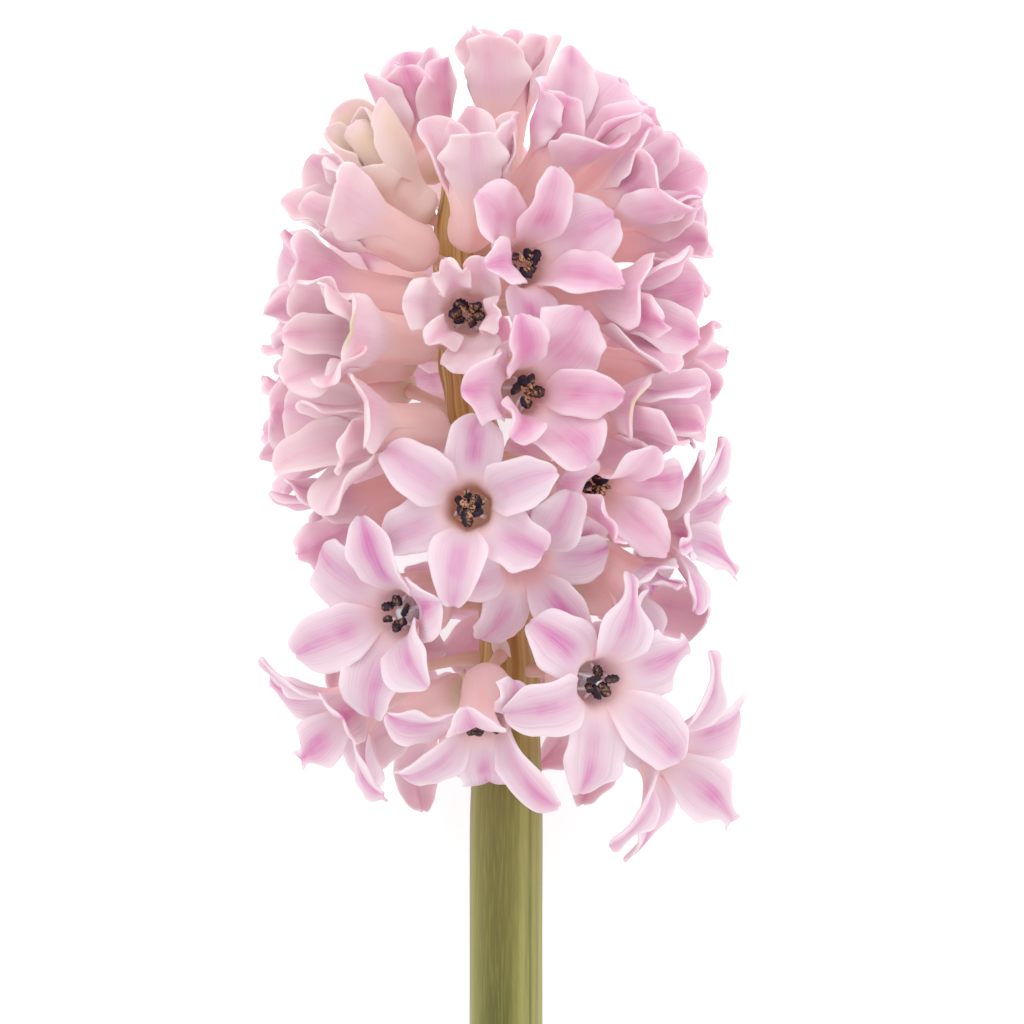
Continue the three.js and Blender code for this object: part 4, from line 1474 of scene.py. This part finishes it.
@dataclass
class Scape:
    """The ridged stalk, which runs on through the head, with its pedicels and bracts."""

    skin: bpy.types.Material
    bract_skin: bpy.types.Material
    sides: int = 96
    step: float = 1.25
    blunt_end: float = 2.6
    rounding: float = 6.0
    rounding_steps: int = 9
    twist: float = 0.004
    pedicel_rows: int = 18
    pedicel_sides: int = 14
    bract_rows: int = 22
    bract_sides: int = 16
    ribs: tuple[tuple[float, int, float], ...] = ((0.5, 8, 0.0), (0.35, 13, 1.0), (0.3, 21, 2.3))
    bract_places: tuple[float, ...] = (0.0, 0.35, 0.7, 0.92, 1.0)
    bract_widths: tuple[float, ...] = (0.8, 1.1, 0.85, 0.45, 0.12)
    radius = 6.45
    ridge = 0.12
    heights = (CUT_END_Y, 38.0, 58.0, 78.0, 100.0, 118.0, 135.0, 151.0)
    offsets = (0.0, 0.0, 0.4, -0.2, -5.2, -8.2, -9.0, -9.0)
    radii = (6.45, 6.45, 5.2, 4.4, 4.0, 3.6, 2.9, 1.8)
    bracts = (
        Bract(62.5, -2, 9.5, -3.6, 2.2, 1.3),
        Bract(56.5, -58, 4.5, -0.8, 3.2, 1.4),
        Bract(84, 14, 6, 1.2, 1.6, 1.1),
    )

    @classmethod
    def at(cls, height: float) -> tuple[Array, float]:
        """The stalk at a height, as its solid has it.

        Args:
            height: The height in the flower's frame.

        Returns:
            Its middle and its radius there.
        """
        y = min(max(height, cls.heights[0]), cls.heights[-1])
        x = float(np.interp(y, cls.heights, cls.offsets))
        return np.array([x, y, 0.0]), float(np.interp(y, cls.heights, cls.radii))

    def smooth_route(self, y: Array) -> tuple[Array, Array]:
        """The stalk's sideways place and radius, with the corners of its route rounded.

        Args:
            y: Heights.

        Returns:
            Where its middle is, and its radius.
        """
        span = np.linspace(-self.rounding, self.rounding, self.rounding_steps)
        spots = y[:, None] + span[None] * smoothstep(y, -60, -40)[:, None]
        x = np.interp(spots, self.heights, self.offsets).mean(axis=1)
        return x, np.interp(spots, self.heights, self.radii).mean(axis=1)

    def add_stalk(self, pile: Pile, florets: list[Floret]) -> None:
        """Adds the stalk, with a soft swelling under each pedicel.

        Args:
            pile: The mesh that it joins.
            florets: The florets that it carries.
        """
        y = np.arange(CUT_END_Y, self.heights[-1] + 0.01, self.step)
        x, radius = self.smooth_route(y)
        theta = turns_round(self.sides)
        turned = theta[None] + self.twist * (y[:, None] - CUT_END_Y)
        ribs = sum(size * np.cos(count * turned + start) for size, count, start in self.ribs)
        ribs = ribs * self.ridge * 0.9 - 0.04
        swelling = np.zeros((len(y), self.sides))
        for floret in florets:
            start = floret.support.root - Scape.at(floret.support.root[1])[0]
            toward = math.atan2(start[0], start[2])
            turn = np.angle(np.exp(1j * (theta[None] - toward)))
            tall = (y[:, None] - floret.support.root[1] + 1.5) / 3.4
            swelling += 0.7 * np.exp(-(turn / 0.55) ** 2 - tall**2)
        reach = radius[:, None] + ribs + np.minimum(swelling, 0.9)
        past = y[:, None] - self.heights[-1] + self.blunt_end
        rounded = np.sqrt(np.maximum(1 - (past / (self.blunt_end + 0.05)) ** 2, 0.05))
        reach = np.where(past > 0, reach * rounded, reach)
        spin = -theta
        rings = np.stack([x[:, None] + reach * np.sin(spin), y[:, None] * np.ones(self.sides),
                          reach * np.cos(spin)], axis=2)
        rings = np.concatenate([self.cut_face(rings[0]), rings])
        kind = np.zeros(rings.shape)
        kind[:3, :, 1] = np.array([1.0, 0.85, 0.3])[:, None]
        pile.loft(rings, 0, {"grown": self.grown(rings, spin), "kind": kind})

    @staticmethod
    def grown(rings: Array, turns: Array) -> Array:
        """How far forward, right and up each point of the rings is, for the stalk's finish."""
        level = np.ones((len(rings), 1))
        return np.stack([np.cos(turns) * level, np.sin(turns) * level, rings[:, :, 1]], axis=2)

    @staticmethod
    def cut_face(ring: Array) -> Array:
        """Rings that close the cut end with a shallow dish.

        Args:
            ring: The stalk's lowest ring.

        Returns:
            Three rings, the innermost first.
        """
        middle = ring.mean(0)
        shares = ((0.35, 0.35), (0.8, 0.2), (0.965, 0.0))
        return np.array([middle + (ring - middle) * s + np.array([0, up, 0]) for s, up in shares])

    def add_pedicel(self, pile: Pile, floret: Floret) -> None:
        """Adds the short stalk that carries a floret.

        Args:
            pile: The mesh that it joins.
            floret: The floret that it carries.
        """
        t = np.linspace(0, 1, self.pedicel_rows)
        end = 1 - floret.tube_length * 0.985 / floret.support.length
        phi = turns_round(self.pedicel_sides)
        flare = 0.55 * np.exp(-((t / 0.32) ** 2)) + 0.35 * np.exp(-(((1 - t) / 0.14) ** 2))
        radius = (1.0 + flare)[:, None] * (1 + 0.05 * np.cos(5 * phi)[None])
        rings = floret.ring(t * end, radius, phi)
        kind = np.zeros(rings.shape)
        kind[:, :, 0] = t[:, None]
        kind[:, :, 2] = 1.0
        pile.loft(rings, 0, {"grown": self.grown(rings, phi), "kind": kind})

    def add_bract(self, pile: Pile, bract: Bract) -> None:
        """Adds a small curled leaf.

        Args:
            pile: The mesh that it joins.
            bract: Where it stands and how it grew.
        """
        centre, radius = Scape.at(bract.height)
        turn = math.radians(bract.turn)
        axis = np.array([math.sin(turn), 0.0, math.cos(turn)])
        right = np.array([math.cos(turn), 0.0, -math.sin(turn)])
        root = centre + axis * radius * ROOT_DEPTH
        bend = root + axis * (radius * (1 - ROOT_DEPTH) + bract.away)
        tip = bend + np.array([0, bract.length, 0]) + right * bract.aside
        t = np.linspace(0, 1, self.bract_rows)
        middle, along = Support(root, bend, tip).at(t)
        flat = unit(right - along * (along @ right)[:, None])
        thick = np.cross(along, flat)
        width = bract.half_width * np.interp(t, self.bract_places, self.bract_widths)
        width = (width * (1 + 0.08 * np.sin(t * 21)))[:, None]
        phi = turns_round(self.bract_sides)
        c, t = np.cos(phi)[None], t[:, None]
        cup = 0.35 * width * c**2
        ripple = 0.16 * np.sin(t * 17 + c * 2) * c * t
        rings = stepped(middle[:, None], (flat[:, None], width * c),
                        (thick[:, None], 0.2 * np.sin(phi)[None] - cup + ripple))
        kind = np.zeros(rings.shape)
        kind[:, :, 0] = t
        pile.loft(rings, 1, {"grown": self.grown(rings, phi), "kind": kind})

    def build(self, florets: list[Floret], frame: FlowerFrame) -> bpy.types.Object:
        """Makes the piece, in the place of its solid.

        Args:
            florets: The florets that it carries.
            frame: Where the flower lies.

        Returns:
            The piece.
        """
        pile = Pile()
        self.add_stalk(pile, florets)
        for floret in florets:
            self.add_pedicel(pile, floret)
        for bract in self.bracts:
            self.add_bract(pile, bract)
        piece = pile.made("scape", frame, [self.skin, self.bract_skin])
        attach(piece, "root")
        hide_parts("stalk")
        return piece


def paint(code: str) -> Colour:
    """A colour for a shader.

    Args:
        code: The colour as a screen shows it, such as f3e6ec.

    Returns:
        Its linear red, green and blue, and 1.
    """
    levels = [int(code[i:i + 2], 16) / 255 for i in (0, 2, 4)]
    linear = [v / 12.92 if v <= 0.04045 else ((v + 0.055) / 1.055) ** 2.4 for v in levels]
    return (linear[0], linear[1], linear[2], 1.0)


Value = "Signal | float | str | tuple"


@dataclass(frozen=True)
class Signal:
    """A node's output that can be reckoned with."""

    sheet: "Sheet"
    socket: bpy.types.NodeSocket

    def maths(self, operation: str, *values: Value) -> "Signal":
        """A Math node of these values."""
        return self.sheet.add("ShaderNodeMath", {"operation": operation}, dict(enumerate(values)))

    def __add__(self, other: Value) -> "Signal":
        """self + other."""
        return self.maths("ADD", self, other)

    def __radd__(self, other: Value) -> "Signal":
        """other + self."""
        return self.maths("ADD", other, self)

    def __sub__(self, other: Value) -> "Signal":
        """self - other."""
        return self.maths("SUBTRACT", self, other)

    def __rsub__(self, other: Value) -> "Signal":
        """other - self."""
        return self.maths("SUBTRACT", other, self)

    def __mul__(self, other: Value) -> "Signal":
        """self * other."""
        return self.maths("MULTIPLY", self, other)

    def __rmul__(self, other: Value) -> "Signal":
        """other * self."""
        return self.maths("MULTIPLY", other, self)

    def __truediv__(self, other: Value) -> "Signal":
        """self / other."""
        return self.maths("DIVIDE", self, other)

    def __rpow__(self, other: Value) -> "Signal":
        """other ** self."""
        return self.maths("POWER", other, self)

    def __pow__(self, other: Value) -> "Signal":
        """self ** other."""
        return self.maths("POWER", self, other)

    def __abs__(self) -> "Signal":
        """Its size without its sign."""
        return self.maths("ABSOLUTE", self)

    def step(self, low: float, high: float) -> "Signal":
        """A soft step from 0 at low to 1 at high."""
        return self.sheet.add("ShaderNodeMapRange", {"interpolation_type": "SMOOTHSTEP"},
                              {"Value": self, "From Min": low, "From Max": high})

    def bell(self, width: Value) -> "Signal":
        """1 where this is 0, falling off evenly on both sides over the width."""
        share = self / width
        return math.e ** (0 - share * share)


class Sheet:
    """The node tree of one material, and the one method that adds a node to it."""

    def __init__(self, name: str) -> None:
        """Starts an empty material.

        Args:
            name: The material's name.
        """
        self.material = bpy.data.materials.new(name)
        self.material.use_nodes = True
        self.tree = self.material.node_tree
        self.tree.nodes.clear()

    def node(self, kind: str, settings: dict, inputs: dict) -> bpy.types.ShaderNode:
        """Adds a node.

        Args:
            kind: The node's type.
            settings: Its settings, such as a Math node's operation.
            inputs: Numbers, colour codes or signals for its sockets, by name or place.

        Returns:
            The node.
        """
        node = self.tree.nodes.new(kind)
        for key, value in settings.items():
            setattr(node, key, value)
        for key, value in inputs.items():
            if isinstance(value, Signal):
                self.tree.links.new(value.socket, node.inputs[key])
            else:
                node.inputs[key].default_value = paint(value) if isinstance(value, str) else value
        return node

    def add(self, kind: str, settings: dict, inputs: dict, output: int | str = 0) -> Signal:
        """Adds a node as node does, and gives one of its outputs, by name or place."""
        return Signal(self, self.node(kind, settings, inputs).outputs[output])

    def three(self, name: str) -> tuple[Signal, Signal, Signal]:
        """The three numbers of one of the mesh's values.

        Args:
            name: The value's name.

        Returns:
            Its numbers.
        """
        whole = self.add("ShaderNodeAttribute", {"attribute_name": name}, {}, "Vector")
        x, y, z = self.node("ShaderNodeSeparateXYZ", {}, {0: whole}).outputs
        return Signal(self, x), Signal(self, y), Signal(self, z)

    def join(self, x: Value, y: Value, z: Value) -> Signal:
        """A vector of three values."""
        return self.add("ShaderNodeCombineXYZ", {}, {0: x, 1: y, 2: z})

    def noise(self, where: Signal, scale: float, detail: float = 2.0) -> Signal:
        """Soft noise from 0 to 1."""
        return self.add("ShaderNodeTexNoise", {},
                        {"Vector": where, "Scale": scale, "Detail": detail})

    def place(self) -> Signal:
        """Where the point is on the object, in metres."""
        return self.add("ShaderNodeTexCoord", {}, {}, "Object")

    def mix(self, first: Value, second: Value, share: Value) -> Signal:
        """A colour at a share of the way from the first to the second."""
        return self.add("ShaderNodeMix", {"data_type": "RGBA"}, {0: share, 6: first, 7: second}, 2)

    def bump(self, height: Signal, strength: float, distance: float) -> Signal:
        """A normal that follows a height."""
        return self.add("ShaderNodeBump", {},
                        {"Strength": strength, "Distance": distance, "Height": height})

    def surface(self, inputs: dict) -> bpy.types.Material:
        """Closes the tree with one Principled shader.

        Args:
            inputs: What each of its sockets gets.

        Returns:
            The material.
        """
        method = {"subsurface_method": "BURLEY"}
        shader = self.add("ShaderNodeBsdfPrincipled", method, inputs, "BSDF")
        self.node("ShaderNodeOutputMaterial", {}, {"Surface": shader})
        return self.material


@dataclass(frozen=True)
class PetalFinish:
    """Waxy translucent petal: pale pink ground, soft rose band, whiter rim, peach tube, with
    painted shade on the tube's ribs and a painted glow in the throat.
    """

    white: str = "ddc9d4"
    blush: str = "f0c4d6"
    rim: str = "f6e0ea"
    rose: str = "d274a4"
    orchid: str = "c762a4"
    deep: str = "b44a88"
    salmon: str = "fbc2bc"
    # shade is a shaded copy of salmon, painted on the tube as shade
    shade: str = "f2a49f"
    leafy: str = "d6d49c"
    cream: str = "f1dacb"
    honey: str = "e9c6a4"
    tip: str = "cbb680"
    buff: str = "dda98f"

    def build(self) -> bpy.types.Material:
        """Makes the material.

        Returns:
            The material.
        """
        sheet = Sheet("waxy_petal")
        side, along, front = sheet.three("petal")
        stripe, ground, seed = sheet.three("tint")
        green, cream, warm = sheet.three("tone")
        edge = abs(side)
        lobe = along.step(-0.1, 0.15)
        where = sheet.join(side * 4 + seed * 31, along * 1.2, seed * 7 + front)
        vein = sheet.noise(where, 1.0, 3.0)
        streak = sheet.noise(sheet.join(side * 13 + seed * 17, along * 1.6, front * 2), 1.0, 2.0)
        patch = sheet.noise(sheet.place(), 130.0, 2.0)
        base = sheet.mix(self.white, self.blush, ground + (patch - 0.5) * 0.9 + (vein - 0.5) * 0.5)
        wide = 0.28 + ground * 0.38 + (vein - 0.5) * 0.35
        band = edge.bell(wide) * (0.55 + streak * 0.9)
        length = along.step(-0.02, 0.42) * (1 - along.step(0.9, 1.0) * 0.3) * lobe
        pale_root = 1 - front * (1 - along.step(0.1, 0.5)) * 0.4
        mask = band * length * pale_root * stripe * (0.5 + patch.step(0.3, 0.7) * 0.6)
        rosier = ground.step(0.38, 0.75) * (1 - along.step(0.5, 1.0) * 0.5) + (seed - 0.5) * 0.4
        hue = sheet.mix(self.orchid, self.rose, rosier)
        base = sheet.mix(base, hue, mask * 0.95)
        core = edge.bell(0.2) * length * pale_root * stripe * vein.step(0.45, 0.75)
        core = core * along.step(0.3, 0.8) * (0.5 - ground.step(0.5, 0.8) * 0.35)
        base = sheet.mix(base, self.deep, core)
        where = sheet.join(side * 22 + seed * 5, along * 0.9, front * 3 + seed)
        lines = sheet.noise(where, 1.0, 2.0)
        lined = lines.step(0.5, 0.72) * along.step(0.05, 0.4) * (1 - edge.step(0.6, 0.95)) * stripe
        base = sheet.mix(base, hue, lined * (0.45 - ground * 0.2))
        base = sheet.mix(base, self.rim, edge.step(0.62, 1.0) * lobe * (0.72 - ground * 0.25))
        blotch = patch.step(0.46, 0.66) * along.step(0.45, 0.85) * ground * (1 - edge * 0.35)
        base = sheet.mix(base, self.rose, blotch * 0.45)
        tube = (1 - along.step(-0.15, 0.35)) * (1 - front)
        base = sheet.mix(base, self.salmon, tube * (0.8 + (vein - 0.5) * 0.5))
        # Darker ribs down the tube in the shade colour: partly the tube's own darker ribs, partly
        # painted shade.
        rib = edge.bell(0.4) * (1 - along.step(-0.1, 0.3)) * along.step(-0.95, -0.4) * (1 - front)
        base = sheet.mix(base, self.shade, rib * (0.25 + patch.step(0.4, 0.7) * 0.5))
        # Salmon inside the throat and on the lobes' fronts by the mouth: partly the throat's own
        # warm tint, partly a painted glow of light through the petals that lifts the throat's
        # shade.
        throat_tint_and_painted_glow = front * (1 - along.step(-0.05, 0.22)) * (0.45 + ground * 0.25)
        base = sheet.mix(base, self.salmon, throat_tint_and_painted_glow)
        throat = front * (1 - along.step(-0.34, 0.06)) * warm
        base = sheet.mix(base, self.buff, throat)
        base = sheet.mix(base, self.leafy, (1 - along.step(-1.0, -0.8)) * 0.5)
        base = sheet.mix(base, self.cream, cream * (1 - mask))
        ripe = cream.step(0.5, 0.8) * (1 - edge.step(0.15, 0.75)) * (1 - along.step(0.75, 0.95))
        ripe = ripe * lobe
        base = sheet.mix(base, self.honey, ripe * (0.25 + patch.step(0.35, 0.65) * 0.6))
        base = sheet.mix(base, self.orchid, cream.step(0.5, 0.8) * along.step(0.86, 1.0) * 0.3)
        base = sheet.mix(base, self.tip, green * along.step(0.88, 0.99) * 0.75)
        fine = sheet.noise(sheet.join(side * 26 + seed * 9, along * 5, front), 1.0, 2.0)
        relief = sheet.bump(fine, 0.2, 0.00012)
        return sheet.surface({
            "Base Color": base, "Roughness": 0.4 + fine * 0.14, "Normal": relief,
            "Subsurface Weight": 0.42, "Subsurface Radius": (1.0, 0.5, 0.55),
            "Subsurface Scale": 0.002,
            "IOR": 1.42, "Specular IOR Level": 0.45,
        })


@dataclass(frozen=True)
class AntherFinish:
    """Near-black purple anther with a painted sheen in lighter patches, dusted with buff pollen
    along its grooves.
    """

    dark: str = "0e0710"
    painted_sheen: str = "22142a"
    pollen: str = "cc8d62"

    def build(self) -> bpy.types.Material:
        """Makes the material.

        Returns:
            The material.
        """
        sheet = Sheet("dark_anther")
        groove, along, seed = sheet.three("pollen")
        grain = sheet.noise(sheet.place(), 2400.0, 3.0)
        lump = sheet.noise(sheet.place(), 900.0, 2.0)
        # Lighter purple patches at random over the anther: painted sheen.
        base = sheet.mix(self.dark, self.painted_sheen, lump.step(0.4, 0.75))
        dust = groove * seed.step(0.15, 0.7) * grain.step(0.42, 0.6) * (1 - abs(along) * 0.4)
        base = sheet.mix(base, self.pollen, dust)
        relief = sheet.bump(grain + lump, 0.7, 0.00025)
        return sheet.surface({
            "Base Color": base, "Roughness": 0.7, "Normal": relief, "Specular IOR Level": 0.18,
        })


@dataclass(frozen=True)
class PistilFinish:
    """Pale bluish-white pistil and filaments."""

    pale: str = "f3eff3"
    shade: str = "dcd5e4"

    def build(self) -> bpy.types.Material:
        """Makes the material.

        Returns:
            The material.
        """
        sheet = Sheet("pale_pistil")
        cloud = sheet.noise(sheet.place(), 900.0, 2.0)
        base = sheet.mix(self.pale, self.shade, cloud.step(0.35, 0.7))
        relief = sheet.bump(sheet.noise(sheet.place(), 3000.0), 0.3, 0.0001)
        return sheet.surface({
            "Base Color": base, "Roughness": 0.45, "Normal": relief, "Subsurface Weight": 0.4,
            "Subsurface Radius": (1.0, 0.8, 0.8), "Subsurface Scale": 0.001,
        })


@dataclass(frozen=True)
class StalkFinish:
    """Fleshy stalk: olive below, amber inside the head, with broad soft lengthwise lines, painted
    light on its sides and painted shade down its front.
    """

    olive: str = "403f08"
    green: str = "68661c"
    tan: str = "938f42"
    brown: str = "7d6a2c"
    amber: str = "ab7536"
    honey: str = "cfa965"
    umber: str = "8a541f"
    rosy: str = "e6b2a2"
    cut: str = "cfcf9a"

    def build(self) -> bpy.types.Material:
        """Makes the material.

        Returns:
            The material.
        """
        sheet = Sheet("green_stalk")
        forward, right, height = sheet.three("grown")
        growth, cut, pedicel = sheet.three("kind")
        lines = sheet.noise(sheet.join(forward * 2.2, right * 2.2, height * 0.006), 2.0, 2.0)
        fine = sheet.noise(sheet.join(forward * 9, right * 9, height * 0.08), 2.2, 3.0)
        patch = sheet.noise(sheet.place(), 85.0, 3.0)
        # Painted light: lighter tan on the right side and on the left rim, set by which way each
        # side faces the camera.
        low = sheet.mix(self.green, self.tan, right.step(0.1, 0.45))
        low = sheet.mix(low, self.tan, (0 - right).step(0.66, 0.9) * 0.7)
        # Painted shade: a darker olive band down the side that faces the camera.
        painted_shade_band = (right + 0.24 + (lines - 0.5) * 0.25).bell(0.46) * forward.step(-0.4, 0.6)
        low = sheet.mix(low, self.olive, painted_shade_band * 0.95)
        # Painted shade: a thin olive line down the right side.
        low = sheet.mix(low, self.olive, (right - 0.66).bell(0.05) * 0.8)
        low = sheet.mix(low, self.olive, (1 - lines.step(0.3, 0.5)) * 0.4)
        low = sheet.mix(low, self.brown, height.step(-12.0, 40.0) * (0.15 + patch * 0.6))
        high = sheet.mix(self.amber, self.honey, lines.step(0.42, 0.68))
        high = sheet.mix(high, self.umber, (1 - lines.step(0.32, 0.48)) * 0.7)
        inside = (height + (patch - 0.5) * 20).step(38.0, 70.0)
        base = sheet.mix(low, high, inside)
        base = sheet.mix(base, self.tan, fine.step(0.45, 0.75) * 0.25 * (1 - inside))
        base = sheet.mix(base, self.olive, (1 - fine.step(0.25, 0.55)) * 0.22 * (1 - inside))
        base = sheet.mix(base, self.rosy, pedicel * (0.55 + growth.step(0.0, 0.5) * 0.4))
        base = sheet.mix(base, self.cut, cut.step(0.2, 0.9))
        grit = sheet.noise(sheet.place(), 1900.0, 2.0)
        relief = sheet.bump(fine * 0.6 + grit * 0.2 + lines, 0.3, 0.0002)
        return sheet.surface({
            "Base Color": base, "Roughness": 0.42 + fine * 0.14, "Normal": relief,
            "Subsurface Weight": 0.2, "Subsurface Radius": (0.9, 0.8, 0.4),
            "Subsurface Scale": 0.0016,
            "Specular IOR Level": 0.22,
        })


@dataclass(frozen=True)
class BractFinish:
    """Papery bract, pink-white at its root and brownish at its tip."""

    fresh: str = "ecd3c8"
    dry: str = "b98f62"

    def build(self) -> bpy.types.Material:
        """Makes the material.

        Returns:
            The material.
        """
        sheet = Sheet("papery_bract")
        growth, _, _ = sheet.three("kind")
        streak = sheet.noise(sheet.place(), 420.0, 3.0)
        base = sheet.mix(self.fresh, self.dry, (growth + (streak - 0.5) * 0.7).step(0.35, 1.0))
        return sheet.surface({
            "Base Color": base, "Roughness": 0.55, "Normal": sheet.bump(streak, 0.4, 0.0002),
            "Subsurface Weight": 0.3, "Subsurface Radius": (1.0, 0.7, 0.5),
            "Subsurface Scale": 0.001,
        })


@dataclass(frozen=True)
class TableFinish:
    """Plain white table top."""

    white: str = "dedede"
    soft: str = "dadadb"

    def build(self) -> bpy.types.Material:
        """Makes the material.

        Returns:
            The material.
        """
        sheet = Sheet("white_table")
        cloud = sheet.noise(sheet.place(), 3.0, 1.0)
        base = sheet.mix(self.white, self.soft, cloud)
        return sheet.surface({
            "Base Color": base, "Roughness": 0.7, "Specular IOR Level": 0.0,
            "Emission Color": WHITE, "Emission Strength": 0.56,
        })


@dataclass(frozen=True)
class Lamp:
    """A soft square light: its place in the flower's frame, its width in metres and its watts."""

    name: str
    place: tuple[float, float, float]
    size: float
    power: float


@dataclass
class Studio:
    """The table, the soft lights and the camera that looks straight down on the lying flower."""

    frame: FlowerFrame
    lens: float = 120.0
    sensor: float = 36.0
    table_size: float = 4.0
    surround: float = 0.85
    softness: float = 1.37
    lamps: tuple[Lamp, ...] = (
        Lamp("key_light", (-420.0, 420.0, 600.0), 0.6, 0.82),
        Lamp("fill_light", (520.0, -20.0, 500.0), 0.8, 0.6),
        Lamp("head_light", (60.0, 620.0, 260.0), 0.6, 0.95),
    )

    def table(self) -> bpy.types.Object:
        """Makes the table top.

        Returns:
            The table top, which isn't part of the flower.
        """
        half = self.table_size / 2
        mesh = bpy.data.meshes.new("table_top")
        corners = [(-half, -half, 0), (half, -half, 0), (half, half, 0), (-half, half, 0)]
        mesh.from_pydata(corners, [], [(0, 1, 2, 3)])
        mesh.materials.append(TableFinish().build())
        top = bpy.data.objects.new("table_top", mesh)
        bpy.context.scene.collection.objects.link(top)
        return top

    def facing_flower(self, place: Array, target: Array) -> Matrix:
        """Where something stands that looks from a place at a target, both in the flower's frame.

        Args:
            place: Where it stands.
            target: What it looks at.

        Returns:
            Its matrix in the part's frame.
        """
        turned = self.frame.turned()
        back = turned @ unit(place - target)
        up = turned @ np.array([0.0, 1.0, 0.0])
        right = unit(np.cross(up, back))
        axes = np.stack([right, np.cross(back, right), back], axis=1)
        matrix = Matrix(axes.tolist()).to_4x4()
        matrix.translation = Vector(self.frame.to_part(place).tolist())
        return matrix

    def camera(self) -> bpy.types.Object:
        """Makes the camera, which frames the flower as the picture does.

        Returns:
            The camera.
        """
        data = bpy.data.cameras.new("camera")
        data.lens, data.sensor_width = self.lens, self.sensor
        data.clip_start, data.clip_end = 0.01, 20.0
        middle = PICTURE_SIZE / 2
        target = np.append(picture_place(middle, middle), TARGET_HEIGHT)
        distance = PICTURE_SIZE / PIXELS_PER_MM * self.lens / self.sensor
        camera = bpy.data.objects.new("camera", data)
        bpy.context.scene.collection.objects.link(camera)
        camera.matrix_world = self.facing_flower(target + np.array([0.0, 0.0, distance]), target)
        bpy.context.scene.camera = camera
        return camera

    def light(self, lamp: Lamp) -> None:
        """Adds a soft square light.

        Args:
            lamp: Where it stands and how bright it is.
        """
        data = bpy.data.lights.new(lamp.name, "AREA")
        data.shape, data.size, data.energy = "SQUARE", lamp.size, lamp.power
        light = bpy.data.objects.new(lamp.name, data)
        bpy.context.scene.collection.objects.link(light)
        light.matrix_world = self.facing_flower(np.array(lamp.place), np.array(HEAD_MIDDLE))

    def world(self) -> None:
        """Sets an even white surround."""
        world = bpy.data.worlds.new("surround")
        world.use_nodes = True
        shade = world.node_tree.nodes["Background"]
        shade.inputs["Color"].default_value = WHITE
        shade.inputs["Strength"].default_value = self.surround
        bpy.context.scene.world = world

    def build(self) -> None:
        """Makes everything round the flower."""
        self.table()
        self.camera()
        for lamp in self.lamps:
            self.light(lamp)
        self.world()
        view = bpy.context.scene.view_settings
        view.view_transform, view.gamma = "Standard", self.softness


def grown_florets(frame: FlowerFrame, nodes: dict[str, bpy.types.Object]) -> list[Floret]:
    """Every floret, bent as its solid is.

    Args:
        frame: Where the flower lies.
        nodes: The solids by name.

    Returns:
        The florets, those in view first.
    """
    florets = []
    for number, sprout in enumerate(SHOWN_FLORETS, start=1):
        florets.append(Floret(number, sprout.mouth(), sprout.turn, sprout.lift, sprout.open,
                              sprout.roll, sprout.size, sprout.habit, sprout.stamens,
                              sprout.lobe_share, sprout.ruffle, sprout.sunk))
    for ring in BACK_RINGS:
        for turn in ring.turns:
            centre, _ = Scape.at(ring.height)
            out = np.array([math.sin(math.radians(turn)), 0.0, math.cos(math.radians(turn))])
            mouth = centre + out * ring.reach
            florets.append(Floret(len(florets) + 1, mouth, turn, ring.lift, ring.open,
                                  turn, BACK_SIZE, ring.habit, ring.stamens))
    for floret in florets:
        floret.fit(frame.to_flower(frame.solid_points(nodes[f"floret_{floret.name}"])))
    lobes = [lobe for floret in florets for lobe in floret.lobes]
    for number, (x, y) in GREEN_TIPS.items():
        spot = picture_place(x, y)
        own = [lobe for lobe in lobes if lobe.floret.number == number]
        min(own, key=lambda lobe: np.linalg.norm(lobe.tip()[:2] - spot)).tip_green = 1.0
    return florets


def main() -> None:
    """Dresses the flower and sets the studio round it."""
    logging.basicConfig(level=logging.INFO, format="%(name)s: %(message)s")
    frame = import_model()
    flower = FlowerFrame(frame["nodes"]["stalk"])
    florets = grown_florets(flower, frame["nodes"])
    LOG.info("%d florets found in their solids", len(florets))
    LOG.info("%d lobes grew to their full width", Crowd(florets).settle())
    perianth = Perianth(PetalFinish().build())
    for floret in florets:
        piece = perianth.build(floret, flower)
        LOG.info("%s: %d faces", piece.name, len(piece.data.polygons))
    cluster = StamenCluster(AntherFinish().build(), PistilFinish().build())
    for floret in florets:
        if floret.stamens:
            piece = cluster.build(floret, flower)
            LOG.info("%s: %d faces", piece.name, len(piece.data.polygons))
    scape = Scape(StalkFinish().build(), BractFinish().build()).build(florets, flower)
    LOG.info("%s: %d faces", scape.name, len(scape.data.polygons))
    Studio(flower).build()


if __name__ == "__main__":
    main()
